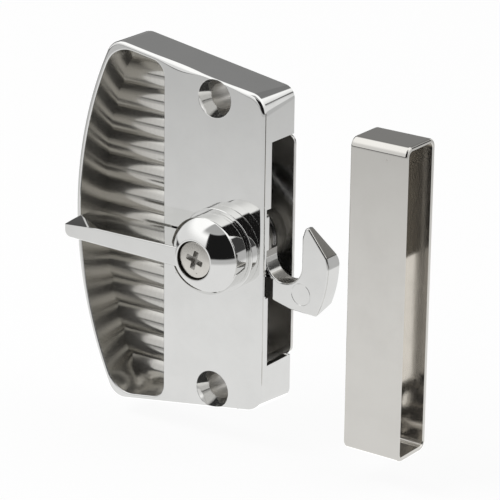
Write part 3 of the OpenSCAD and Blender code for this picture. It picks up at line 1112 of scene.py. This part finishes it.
    def slot_cutters(self) -> list[bpy.types.Object]:
        """Side slot in its two depths and the round pocket that breaks through the wall.

        Returns:
            The three cutters.
        """
        inside, outside = self.side_x - self.wall - 0.5, self.side_x + 1
        upper = Bench.block("slot", spot(inside, self.slot_front, -self.slot_half),
                            spot(outside, self.depth + 1, self.slot_half))
        lower = Bench.block("slot_low", spot(inside, self.slot_low_front, -self.slot_half),
                            spot(outside, self.depth + 1, self.pivot[1]))
        pocket = Bench.pin("pocket", self.pivot, self.pocket_radius, self.pocket_front,
                           self.slot_front + 0.05, 160)
        Bench.slice(pocket, spot(self.pull_x + self.wall, 0, 0), Vector((-1, 0, 0)))
        return [upper, lower, pocket]

    def hole_cutters(self) -> list[bpy.types.Object]:
        """Pivot bore, countersunk holes and blind rivet holes.

        Returns:
            The cutters.
        """
        cutters = [Bench.pin("bore", self.pivot, self.bore, -1, self.plate + 1)]
        soft = self.sink_soft
        for side in (-1, 1):
            profile = [(self.sink_radius + soft, -1), (self.sink_radius + soft, 0),
                       (self.sink_radius, soft * 0.6), (self.hole_radius + 0.12, self.sink_depth),
                       (self.hole_radius, self.sink_depth + 0.15),
                       (self.hole_radius, self.depth + 1)]
            cutters.append(Bench.turned("screw_hole", (0, side * self.hole_z), profile, 72))
            for x in (-self.rivet[0], self.rivet[0]):
                cutters.append(Bench.pin("rivet_hole", (x, side * self.rivet[1]), RIVET_HOLE,
                                         self.depth - self.rivet_depth, self.depth + 1, 24))
        return cutters

    def build(self, finishes: Finishes) -> None:
        """Model the casting and dress it.

        Args:
            finishes: all finishes.
        """
        piece = self.shell()
        Bench.combine(piece, self.pull_cutter(), Cut.LESS)
        Bench.combine(piece, self.cavity_cutter(), Cut.LESS)
        for cutter in self.slot_cutters() + self.hole_cutters():
            Bench.combine(piece, cutter, Cut.LESS)
        Bench.smooth(piece, 28)
        Bench.mark_finish_and_shade(piece, self.grade)
        finishes.settle(piece, "chrome_cast", Body.HOUSING, "housing")


@dataclass
class Lever:
    """Knob with its blade, the collar at its foot and the screw in its nose."""

    pivot: Flat = PIVOT
    collar_radius: float = 10.7
    collar_height: float = 3.1
    collar_bore: float = 7.02
    foot_radius: float = 7.0
    knob_radius: float = 9.8
    knob_height: float = 12.7
    nose_height: float = 4.1
    nose_radius: float = 5.35
    nose_swell: float = 0.45
    flank_steps: int = 8
    blade_reach: float = 40.4
    blade_root: float = 2.6
    blade_tip: float = 1.95
    blade_drop: float = -0.3
    blade_gap: float = 0.8
    head_radius: float = 4.65
    head_height: float = 1.8
    head_sink: float = 0.35
    head_gap: float = 0.25
    shank_radius: float = 1.9
    shank_end: float = 7.3
    cross_turn: float = -16.0
    cross: tuple[tuple[float, float, float], ...] = ((-0.4, 2.6, 0.78), (0.1, 2.45, 0.7), (1.1, 1.4, 0.45))
    # Grade that darkens the screw's cross recess: painted shade.
    cross_shade: float = 1.25

    def knob(self) -> bpy.types.Object:
        """Turned knob with a slightly domed nose and the seat of the screw.

        Returns:
            The new piece.
        """
        front, shoulder = -self.knob_height, -self.knob_height + self.nose_height
        seat = front + self.head_height
        rim, foot = self.head_radius + self.head_gap, -self.collar_height - 0.1
        chord = Vector((self.knob_radius - self.nose_radius, shoulder - front))
        out = Vector((chord.y, -chord.x)).normalized() * self.nose_swell
        flank = []
        for i in range(1, self.flank_steps):
            share = i / self.flank_steps
            bow = 4 * share * (1 - share)
            point = Vector((self.nose_radius, front)) + chord * share + out * bow
            flank.append((point.x, point.y, 0))
        profile = soften([
            (CORE, seat + 0.05, 0), (rim, seat + 0.05, 0), (rim, front, 0.1),
            (self.nose_radius, front, 0.12), *flank, (self.knob_radius + 0.1, shoulder + 0.15, 1.0),
            (self.knob_radius, foot, 0.05), (self.foot_radius, foot, 0),
            (self.foot_radius, -0.05, 0), (CORE, -0.05, 0)], 6)
        return Bench.turned("thumb_knob", self.pivot, profile, 144)

    def blade(self) -> bpy.types.Object:
        """Flat blade, tapered towards a rounded tip whose front corner is relieved.

        Returns:
            The new piece.
        """
        x, z = self.pivot
        back, front = -self.blade_gap, -self.knob_height + 0.3
        tip, level = x - self.blade_reach, z + self.blade_drop
        outline = soften([(x, level + self.blade_root, 0), (tip, level + self.blade_tip, 0.5),
                          (tip, level - self.blade_tip, 1.7), (x, level - self.blade_root, 0)], 8)
        piece = Bench.pillow("blade", outline, front, back, 0.32, 0.2)
        crease = spot(tip - 0.2, -5.6, level + self.blade_tip)
        across = spot(tip + 7.4, -10.3, level + self.blade_tip + 0.1) - crease
        down = spot(tip, front, level + self.blade_tip - 0.75) - crease
        normal = across.cross(down).normalized()
        Bench.slice(piece, crease, normal if normal.z > 0 else -normal)
        return piece

    def build(self, finishes: Finishes) -> None:
        """Model and dress the knob with its blade, the collar and the screw.

        Args:
            finishes: all finishes.
        """
        knob = self.knob()
        blade = self.blade()
        clear = Bench.pin("clear", self.pivot, self.collar_radius + 0.3, -self.collar_height - 0.1, 1)
        Bench.combine(blade, clear, Cut.LESS)
        Bench.combine(knob, blade, Cut.PLUS)
        mouth = Bench.pin("mouth", self.pivot, self.head_radius + self.head_gap, -self.knob_height - 1,
                          -self.knob_height + self.head_height + 0.05, 144)
        Bench.combine(knob, mouth, Cut.LESS)
        Bench.smooth(knob, 35)

        def grade(x: float, depth: float, z: float) -> float:
            """Painted shade in the seat of the screw, in the gap round its head."""
            out = math.hypot(x - self.pivot[0], z - self.pivot[1])
            seat = out < self.head_radius + 0.36 and -self.knob_height + 0.01 < depth < 0
            # The seat takes the near-black colour: painted shade in the gap round the screw's head.
            return PAINTED_SHADE if seat else POLISHED

        Bench.mark_finish_and_shade(knob, grade)
        finishes.settle(knob, "chrome_cast", Body.LEVER, "thumb_lever")
        finishes.settle(self.collar(), "chrome_cast", Body.LEVER, "lever_collar")
        finishes.settle(self.screw(), "screw_steel", Body.LEVER, "lever_screw")

    def collar(self) -> bpy.types.Object:
        """Ring at the foot of the knob with a rounded shoulder.

        Returns:
            The new piece.
        """
        inner = self.collar_bore
        profile = soften([(inner, -0.05, 0), (self.collar_radius - 0.05, -0.05, 0.15),
                          (self.collar_radius, -self.collar_height - 0.05, 0.25),
                          (inner, -self.collar_height - 0.05, 0)], 6)
        ring = [(CORE, -0.05)] + profile[1:-1] + [(CORE, -self.collar_height - 0.05)]
        piece = Bench.turned("foot_collar", self.pivot, ring, 120)
        plug = Bench.pin("plug", self.pivot, inner, 1, -self.collar_height - 1, 120)
        Bench.combine(piece, plug, Cut.LESS)
        Bench.smooth(piece, 35)
        return piece

    def screw(self) -> bpy.types.Object:
        """Screw with a slightly domed head and a tapered cross recess.

        Returns:
            The new piece.
        """
        top = -self.knob_height + self.head_sink
        seat = -self.knob_height + self.head_height
        shank, end = self.shank_radius, self.shank_end
        profile = soften([(CORE, top, 0), (2.6, top, 0), (self.head_radius, top + 0.2, 0.25),
                          (self.head_radius, seat, 0), (shank, seat, 0), (shank, end, 0.3),
                          (CORE, end, 0)], 5)
        piece = Bench.turned("nose_screw", self.pivot, profile)
        for turn in (0, 90):
            angle = math.radians(self.cross_turn + turn)
            along = Vector((math.cos(angle), 0, math.sin(angle)))
            across = Vector((-math.sin(angle), 0, math.cos(angle)))
            centre = spot(self.pivot[0], 0, self.pivot[1])
            rings = []
            for depth, length, width in self.cross:
                corners = soften([(length, width, 0.3), (-length, width, 0.3), (-length, -width, 0.3),
                                  (length, -width, 0.3)], 3)
                level = Vector((0, top + depth, 0))
                rings.append([centre + (along * u + across * v + level) * MM for u, v in corners])
            Bench.combine(piece, Bench.loft("cross", rings), Cut.LESS)
        Bench.smooth(piece, 30)

        def grade(x: float, depth: float, z: float) -> float:
            """Painted shade in the cross recess."""
            inside = math.hypot(x - self.pivot[0], z - self.pivot[1]) < 2.9
            return self.cross_shade if inside and top + 0.12 < depth < seat + 1.0 else POLISHED

        Bench.mark_finish_and_shade(piece, grade)
        return piece


@dataclass
class Hook:
    """Hook casting: hub, journals, thin shoulder and the nosed arm."""

    pivot: Flat = PIVOT
    hub_front: float = 2.0
    arm_front: float = 2.6
    thick: float = 5.2
    reach: float = 29.2
    throat_near: float = 10.7
    throat_width: float = 10.75
    throat_level: float = -1.3
    tip: float = 8.6
    bottom: float = 13.5
    hub_radius: float = 10.6
    square: float = 6.8
    pin_front: float = 6.0
    pin_middle: float = 7.2
    pin_back: float = 4.0
    pin_step: float = 10.85
    screw_bore: float = 1.92
    step_end: float = 12.9
    crease: float = 38.0
    crease_round: float = 0.22
    belly_slant: float = 0.5
    nose_slant: float = 0.4
    nose_back: float = 5.6
    nose_thin: float = 2.1
    # Grade that darkens the nose's slanted face: a painted dark reflection.
    face_shade: float = 1.35
    # Grade that darkens the hub and the shoulder above the throat: painted shade.
    hub_shade: float = 1.2
    # Grades that darken the throat, its bottom most: painted shade.
    throat_shade: float = 0.6
    throat_edge_shade: float = 0.2

    def flat(self, u: float, w: float) -> Flat:
        """Point about the pivot, as X and Z."""
        return (self.pivot[0] + u, self.pivot[1] + w)

    def nose_face(self) -> tuple[Flat, Flat]:
        """Two ends of the nose's slanted face about the pivot, its tip first."""
        inner = self.throat_near + self.throat_width
        return (inner + 1.75, self.tip + 0.35), (self.reach - 0.6, self.tip - 6.3)

    def arm_outline(self) -> list[Flat]:
        """Outline of the arm about the pivot: throat, nose and belly.

        Returns:
            Points in X and Z.
        """
        r = self.throat_width / 2
        inner = self.throat_near + self.throat_width
        throat = [(u, w, 0) for u, w in arc((self.throat_near + r, self.throat_level), r, 180, 360, 32)]
        top, low = self.nose_face()
        nose = [(inner, self.tip - 2.4, 3.0), (inner + 0.8, self.tip + 0.1, 0.9), (*top, 0.6), (*low, 0.7)]
        side = [(u, w, 0) for u, w in arc((0, 0), self.reach, 0, -26, 16)]
        belly = [(25.75, -self.bottom + 0.1, 0.5), (18.2, -self.bottom + 0.4, 3.0),
                 (14.6, -self.bottom + 1.25, 3.0), (12.0, -self.bottom + 1.9, 0),
                 (6.0, -self.hub_radius * 0.9, 0), (0.0, -self.hub_radius * 0.9, 0)]
        corners = [(0.0, 0.4, 0), (self.throat_near, 0.4, 0), *throat, *nose, *side, *belly]
        return [self.flat(u, w) for u, w in soften(corners, 7)]

    def arm(self) -> bpy.types.Object:
        """Arm with softened edges, slanted belly and a nose that thins to its tip.

        Returns:
            The new piece.
        """
        front, back = self.arm_front, self.arm_front + self.thick
        piece = Bench.pillow("hook_casting", self.arm_outline(), front, back, 0.42, 0.3)
        belly = spot(self.pivot[0], front + 0.2, self.pivot[1] - self.bottom + 0.05)
        Bench.slice(piece, belly, Vector((0, self.belly_slant, -1)).normalized())
        nose = spot(self.pivot[0] + self.reach - self.nose_back, front + self.nose_thin,
                    self.pivot[1] + self.tip)
        Bench.slice(piece, nose, Vector((0, 1, self.nose_slant)).normalized())
        step_end = self.pivot[0] + self.step_end
        step = Bench.block("step", spot(self.pivot[0] + 5, front - 1, self.pivot[1] - 16),
                           spot(step_end, front + 2.2, self.pivot[1] + self.throat_level - 4.9))
        Bench.combine(piece, step, Cut.LESS)

        def outside(a: Vector, b: Vector) -> bool:
            """Edges outside the housing."""
            return min(a.x, b.x) > (step_end - 0.01) * MM

        Bench.round_creases(piece, self.crease, self.crease_round, outside)
        return piece

    def build(self, finishes: Finishes) -> None:
        """Model and dress the hook.

        Args:
            finishes: all finishes.
        """
        piece = self.arm()
        back = self.arm_front + self.thick
        hub = soften([(CORE, self.hub_front, 0), (self.hub_radius, self.hub_front, 0.3),
                      (self.hub_radius, 5.4, 0.2), (self.hub_radius - 2.6, 5.6, 0.3),
                      (self.hub_radius - 2.6, back, 0.3), (CORE, back, 0)], 4)
        Bench.combine(piece, Bench.turned("hub", self.pivot, hub), Cut.PLUS)
        near = self.throat_near
        sheet = [self.flat(u, w) for u, w in soften([
            (0, 0, 0), (near, -0.5, 0), (near, self.tip + 1.2, 1.0), (4, self.tip + 1.2, 2.0), (0, 9, 0)], 5)]
        Bench.combine(piece, Bench.prism("shoulder", sheet, self.hub_front, self.hub_front + 2.0), Cut.PLUS)
        step, end = self.hub_front + 1, FRONT - 0.1
        pins = [(CORE, 0.0), (self.pin_front, 0.0), (self.pin_front, step), (self.pin_middle, step),
                (self.pin_middle, self.pin_step), (self.pin_back, self.pin_step), (self.pin_back, end),
                (CORE, end)]
        journals = Bench.turned("journals", self.pivot, pins)
        half = self.square / 2
        x, z = self.pivot
        square = Bench.block("square", spot(x - half, -6.0, z - half), spot(x + half, 1.0, z + half))
        Bench.combine(journals, square, Cut.PLUS)
        Bench.combine(piece, journals, Cut.PLUS)
        Bench.combine(piece, Bench.pin("bore", self.pivot, self.screw_bore, -7.0, 8.0, 32), Cut.LESS)
        self.gate_mark(piece)
        Bench.smooth(piece, 32)
        Bench.mark_finish_and_shade(piece, self.grade)
        finishes.settle(piece, "chrome_cast", Body.LEVER, "hook")

    def grade(self, x: float, depth: float, z: float) -> float:
        """Grade of each face: the nose's slanted face gets a painted dark reflection, and the hub, the
        shoulder above the throat and the throat get painted shade.

        Args:
            x: X of the point.
            depth: its depth behind the front face.
            z: Z of the point.

        Returns:
            The grade, as Bench.mark_finish_and_shade stores it.
        """
        u, w = x - self.pivot[0], z - self.pivot[1]
        start, end = self.nose_face()
        along = (Vector(end) - Vector(start)).normalized()
        offset = Vector((u, w)) - Vector(start)
        on_face = abs(offset.x * along.y - offset.y * along.x) < 0.03
        # The nose's slanted face is darkened towards near black: a painted dark reflection.
        if on_face and self.arm_front + 0.4 < depth:
            return self.face_shade
        upper = u < self.throat_near + 0.05 and w > self.throat_level - 0.3
        r = self.throat_width / 2
        low = self.throat_level - w
        in_throat = abs(math.hypot(u - self.throat_near - r, low) - r) < 0.06 and low > 0
        # The throat is darkened, most at its bottom: painted shade.
        if in_throat and depth > self.arm_front + 0.35:
            return self.throat_shade if low > 0.72 * r else self.throat_edge_shade
        # The hub and the shoulder above the throat are darkened: painted shade.
        on_hub = u < self.throat_near - 0.15 and depth > self.hub_front + 0.1
        return self.hub_shade if on_hub or (upper and depth > self.arm_front + 0.5) else POLISHED

    def gate_mark(self, piece: bpy.types.Object) -> None:
        """Shallow round mark that the mould's pin left on the arm's front.

        Args:
            piece: the hook.
        """
        centre = self.flat(21.4, -8.5)
        level = self.arm_front
        disc = Bench.turned("mark", centre, [(2.85, level - 0.5), (2.85, level), (2.78, level + 0.08)], 72)
        core = Bench.turned("core", centre, [(2.6, level + 0.5), (2.6, level + 0.01), (2.7, level - 1)], 72)
        Bench.combine(disc, core, Cut.LESS)
        Bench.combine(piece, disc, Cut.LESS)


@dataclass
class Spring:
    """Detent spring: a leg on the hub, turns round a post and a leg on the wall."""

    pivot: Flat = PIVOT
    wire: float = 0.6
    coil_radius: float = 3.1
    leg_angle: float = 50.0
    hub_radius: float = 10.6
    leg_up: float = 16.0
    leg_down: float = 2.2
    coil_front: float = 4.7
    turns: float = 3.0
    turn_steps: int = 36
    wall_x: float = -14.0

    def path(self) -> list[Vector]:
        """Points along the wire's middle.

        Returns:
            Points in metres, from the leg on the hub.
        """
        a = math.radians(self.leg_angle)
        out = self.hub_radius + self.wire + 0.05
        leg = (self.pivot[0] + out * math.cos(a), self.pivot[1] + out * math.sin(a))
        coil = (leg[0] - self.leg_up * math.sin(a) + self.coil_radius * math.cos(a),
                leg[1] + self.leg_up * math.cos(a) + self.coil_radius * math.sin(a))
        pitch = 2 * self.wire + 0.5
        steps = self.turn_steps
        count = round(steps * (self.turns + (self.leg_angle - 90) / 360))
        points = []
        for i in range(count + 1):
            b = a - math.pi - math.tau * i / steps
            points.append(spot(coil[0] + self.coil_radius * math.cos(b), self.coil_front + pitch * i / steps,
                               coil[1] + self.coil_radius * math.sin(b)))
        down = (self.leg_up + self.leg_down) * MM
        first = points[0] + Vector((math.sin(a), 0, -math.cos(a))) * down
        last = Vector(((self.wall_x + 0.1 + self.wire) * MM, points[-1].y + 0.2 * MM, points[-1].z))
        return [first, *points, last]

    def build(self, finishes: Finishes) -> None:
        """Model and dress the spring.

        Args:
            finishes: all finishes.
        """
        line = bpy.data.curves.new("detent_wire", "CURVE")
        line.dimensions = "3D"
        line.bevel_depth = self.wire * MM
        line.bevel_resolution = 4
        line.use_fill_caps = True
        points = self.path()
        thread = line.splines.new("POLY")
        thread.points.add(len(points) - 1)
        for point, place in zip(thread.points, points):
            point.co = (*place, 1)
        piece = bpy.data.objects.new("detent_wire", line)
        bpy.context.scene.collection.objects.link(piece)
        Bench.pick(piece)
        bpy.ops.object.convert(target="MESH")
        piece = bpy.context.object
        Bench.merge(piece)
        bpy.ops.object.shade_smooth_by_angle(angle=math.radians(50))
        finishes.settle(piece, "spring_steel", Body.HOUSING, "detent_spring")


@dataclass
class BackPlate:
    """Sheet steel cover of the back, with a strip that closes the side slot from behind."""

    thick: float = 0.9
    lip: float = 0.8
    left: float = -13.8
    right: float = 13.3
    edge_x: float = 14.9
    half: float = 33.4
    slot_half: float = 29.0
    corner: float = 2.2
    hole_z: float = HOLE_Z
    boss_radius: float = 7.6
    rivet: Flat = RIVET
    pivot: Flat = PIVOT
    journal: float = 4.05

    def build(self, finishes: Finishes) -> None:
        """Model and dress the plate.

        Args:
            finishes: all finishes.
        """
        step, out = self.slot_half - 0.15, self.edge_x + self.lip
        upper = [(self.left, self.half, 0.6), (self.right, self.half, 0.6), (self.right, step, 0),
                 (out, step, self.corner)]
        lower = [(x, -z, r) for x, z, r in reversed(upper)]
        outline = list(reversed(soften(upper + lower, 6)))
        piece = Bench.pillow("back_sheet", outline, FRONT - self.thick, FRONT, 0.16, 0.1, 3)
        holes = [((0.0, side * self.hole_z), self.boss_radius, 64) for side in (-1, 1)]
        holes += [((x, side * self.rivet[1]), RIVET_HOLE, 24)
                  for side in (-1, 1) for x in (-self.rivet[0], self.rivet[0])]
        holes.append((self.pivot, self.journal, 64))
        for centre, radius, sides in holes:
            Bench.combine(piece, Bench.pin("hole", centre, radius, FRONT - 2, FRONT + 1, sides), Cut.LESS)
        Bench.smooth(piece, 35)
        finishes.settle(piece, "plate_steel", Body.HOUSING, "back_plate")


@dataclass
class Keeper:
    """Pressed box for the jamb, open on the far side, with a slot and two screw holes."""

    near_x: float = 39.6
    width: float = 15.9
    height: float = 80.0
    depth: float = FRONT
    middle_z: float = -4.1
    wall: float = 1.2
    outer_round: float = 2.4
    rim_round: float = 0.65
    near_round: float = 0.7
    inner_round: float = 0.35
    lip: float = 0.2
    slot_top: float = 3.0
    slot_low: float = 31.0
    slot_width: float = 8.0
    spacing: float = 71.0
    hole: float = 2.2
    inside_raw: float = 0.16

    def section(self, inset: float, x: float) -> Ring:
        """Rounded rectangle in depth and Z.

        Args:
            inset: distance from the outside.
            x: X of the ring.

        Returns:
            Ring of points in metres.
        """
        half_d, half_z = self.depth / 2 - inset, self.height / 2 - inset
        radius = self.outer_round - inset
        corners = [(half_d, half_z, radius), (-half_d, half_z, radius), (-half_d, -half_z, radius),
                   (half_d, -half_z, radius)]
        return [spot(x, self.depth / 2 + d, self.middle_z + z) for d, z in soften(corners, 8)]

    def build(self, finishes: Finishes) -> None:
        """Model and dress the keeper.

        Args:
            finishes: all finishes.
        """
        far, lip = self.near_x + self.width, self.lip
        rings = [self.section(inset, self.near_x + deep) for deep, inset in quarter(self.near_round, 6)]
        rings += [self.section(inset, far - deep) for inset, deep in quarter(self.rim_round, 5)]
        piece = Bench.loft("keeper_box", rings)
        soft, floor = self.inner_round, self.near_x + self.wall
        hollow = [self.section(self.wall + soft, floor), self.section(self.wall, floor + soft),
                  self.section(self.wall, far - lip), self.section(self.wall - lip, far),
                  self.section(self.wall - lip, far + 1)]
        Bench.combine(piece, Bench.loft("hollow", hollow), Cut.LESS)
        half, top, low = self.slot_width / 2, self.slot_top, -self.slot_low
        slot = soften([(half, top, 1.2), (-half, top, 1.2), (-half, low, 1.2), (half, low, 1.2)], 5)
        through = (self.near_x - 1, floor + 1)
        window = [[spot(x, self.depth / 2 + d, self.middle_z + z) for d, z in slot] for x in through]
        Bench.combine(piece, Bench.loft("window", window), Cut.LESS)
        turns = [math.tau * i / 40 for i in range(40)]
        for side in (-1, 1):
            level = self.middle_z + side * self.spacing / 2
            rings = [[spot(x, self.depth / 2 + self.hole * math.cos(a), level + self.hole * math.sin(a))
                      for a in turns] for x in through]
            Bench.combine(piece, Bench.loft("screw_hole", rings), Cut.LESS)
        Bench.smooth(piece, 30)
        Bench.mark_finish_and_shade(piece, self.grade)
        finishes.settle(piece, "chrome_pressed", Body.HOUSING, "keeper")

    def grade(self, x: float, depth: float, z: float) -> float:
        """How raw the plate is: the inside was hardly polished.

        Args:
            x: X of the point.
            depth: its depth behind the front face.
            z: Z of the point.

        Returns:
            The grade, as Bench.mark_finish_and_shade stores it.
        """
        within = self.near_x + self.wall - 0.05 < x < self.near_x + self.width - 0.25
        walls = self.wall - 0.05 < depth < self.depth - self.wall + 0.05
        ends = abs(z - self.middle_z) < self.height / 2 - self.wall + 0.05
        return self.inside_raw if within and walls and ends else POLISHED


@dataclass
class Studio:
    """Camera, pale floor, world and lamp. Angles are in degrees, a card is a screen in the world."""

    azimuth: float = 35.193
    elevation: float = 19.546
    roll: float = -0.742
    distance: float = 722.774
    shift_x: float = -9.069
    shift_y: float = 0.852
    lens: float = 210.46
    ground: float = -52.0
    shade: float = 0.09
    warmth: tuple[float, float, float] = (1.0, 1.0, 0.995)
    lamp_place: tuple[float, float, float] = (-0.45, -0.35, 0.75)
    lamp_watts: float = 3.0
    cards: tuple[tuple[Flat, Flat, float, float], ...] = (
        ((-30, 84), (52, 100), 9, 0.45),
        ((1, 80), (-6, 56), 2.5, 0.012),
        ((-90, 1), (-6.5, -1), 1.2, 0.05),
        ((-172, -120), (4, 48), 6, 0.26),
        ((-172, -120), (-60, -14), 4, 1.6),
        ((-136, -103), (0, 36), 3, 0.03),
        ((-152, -106), (-13.5, 3), 2.5, 0.03),
        ((-190, -161), (24, 48), 2.5, 0.22),
        ((160, 190), (26, 48), 2.5, 0.22),
        ((139.5, 157), (-1, 25), 1.2, 0.05),
    )

    def camera(self) -> None:
        """Camera at the photograph's place."""
        a, e, r = (math.radians(v) for v in (self.azimuth, self.elevation, self.roll))
        back = Vector((math.sin(a) * math.cos(e), -math.cos(a) * math.cos(e), math.sin(e)))
        level = Vector((math.cos(a), math.sin(a), 0))
        upright = back.cross(level)
        right = level * math.cos(r) - upright * math.sin(r)
        top = level * math.sin(r) + upright * math.cos(r)
        place = spot(0, 0, 0) + (back * self.distance - right * self.shift_x - top * self.shift_y) * MM
        data = bpy.data.cameras.new("camera")
        data.lens = self.lens
        data.sensor_width = 36
        data.clip_start = 0.05
        data.clip_end = 20
        eye = bpy.data.objects.new("camera", data)
        turn = Matrix((right, top, back)).transposed().to_4x4()
        eye.matrix_world = Matrix.Translation(place) @ turn
        bpy.context.scene.collection.objects.link(eye)
        bpy.context.scene.camera = eye

    def floor(self) -> None:
        """Pale floor under the latch. It shows white and keeps a faint shadow."""
        Bench.clear()
        bpy.ops.mesh.primitive_plane_add(size=6, location=(0, 0, 0))
        ground = bpy.context.object
        ground.name = "floor"
        ground.data.transform(Matrix.Translation((0, 0, self.ground * MM)))
        ground.visible_glossy = False
        material = bpy.data.materials.new("floor_white")
        material.use_nodes = True
        n = Nodes(material.node_tree)
        glow = n.add("ShaderNodeEmission", in_0=(1, 1, 1, 1), in_1=1.0)
        matt = n.add("ShaderNodeBsdfDiffuse", in_0=(0.9, 0.9, 0.9, 1))
        both = n.add("ShaderNodeMixShader", in_0=self.shade)
        out = n.add("ShaderNodeOutputMaterial")
        n.link(glow.outputs[0], both.inputs[1])
        n.link(matt.outputs[0], both.inputs[2])
        n.link(both.outputs[0], out.inputs[0])
        ground.data.materials.append(material)

    def world(self) -> None:
        """White studio with a grey far wall and dark screens on the camera's side."""
        world = bpy.data.worlds.new("studio")
        bpy.context.scene.world = world
        world.use_nodes = True
        n = Nodes(world.node_tree)
        ray = n.add("ShaderNodeTexCoord")
        axes = n.add("ShaderNodeSeparateXYZ")
        n.link(ray.outputs["Generated"], axes.inputs[0])
        x, y, z = axes.outputs
        turn = n.math("MULTIPLY", n.math("ARCTAN2", x, n.math("MULTIPLY", y, -1.0)), 180 / math.pi)
        height = n.math("MULTIPLY", n.math("ARCSINE", z), 180 / math.pi)

        def card(az: Flat, el: Flat, soft: float) -> bpy.types.NodeSocket:
            """Mask of a card.

            Args:
                az: azimuths of its two sides.
                el: elevations of its lower and upper edge.
                soft: half the width of its soft edge.

            Returns:
                Socket that is 1 on the card.
            """
            parts = []
            for value, (low, high) in ((turn, az), (height, el)):
                parts.append(n.ramp(value, low - soft, low + soft))
                parts.append(n.ramp(value, high - soft, high + soft, 1, 0))
            mask = parts[0]
            for part in parts[1:]:
                mask = n.math("MULTIPLY", mask, part)
            return mask

        tone = n.ramp(height, -14, -22, 0.53, 0.87)
        sky = n.ramp(height, 20, 45, 0.85, 1.25)
        level = n.mix(n.ramp(height, -2, 2), tone, sky)
        for az, el, soft, value in self.cards:
            level = n.mix(card(az, el, soft), level, value)
        seen = n.add("ShaderNodeLightPath").outputs["Is Camera Ray"]
        colour = n.add("ShaderNodeCombineColor")
        for share, socket in zip(self.warmth, colour.inputs):
            n.link(n.math("MULTIPLY", level, share), socket)
        back = n.add("ShaderNodeBackground")
        n.link(n.tint(seen, colour.outputs[0], (1, 1, 1)), back.inputs[0])
        n.link(back.outputs[0], n.add("ShaderNodeOutputWorld").inputs[0])

    def lamp(self) -> None:
        """Soft lamp high on the left."""
        data = bpy.data.lights.new("key", "AREA")
        data.shape = "RECTANGLE"
        data.size = 0.5
        data.size_y = 0.35
        data.energy = self.lamp_watts
        key = bpy.data.objects.new("key", data)
        place = Vector(self.lamp_place)
        key.visible_glossy = False
        key.matrix_world = Matrix.Translation(place) @ place.to_track_quat("Z", "Y").to_matrix().to_4x4()
        bpy.context.scene.collection.objects.link(key)

    def build(self) -> None:
        """Make everything round the latch."""
        scene = bpy.context.scene
        scene.view_settings.view_transform = "Standard"
        self.camera()
        self.floor()
        self.world()
        self.lamp()
        LOG.info("studio: camera, floor, world and lamp")


def carried_over(finishes: Finishes) -> None:
    """Give the CAD nodes that keep their meshes their finishes.

    Args:
        finishes: all finishes.
    """
    slots = {"thrust_washer": "washer_steel", "wave_washer": "spring_steel", "plate_rivets": "rivet_steel"}
    for node, slot in slots.items():
        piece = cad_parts[node]
        for place in piece.material_slots:
            place.material = finishes.made[slot]
        LOG.info("%s: CAD mesh, %s", node, slot)


def main() -> None:
    """Build the latch, piece by piece, and its studio."""
    logging.basicConfig(level=logging.INFO, format="%(name)s %(message)s")
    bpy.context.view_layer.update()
    Studio().build()
    finishes = Finishes()
    Housing().build(finishes)
    Lever().build(finishes)
    Hook().build(finishes)
    Spring().build(finishes)
    BackPlate().build(finishes)
    Keeper().build(finishes)
    carried_over(finishes)
    Bench.clear()


if __name__ == "__main__":
    main()
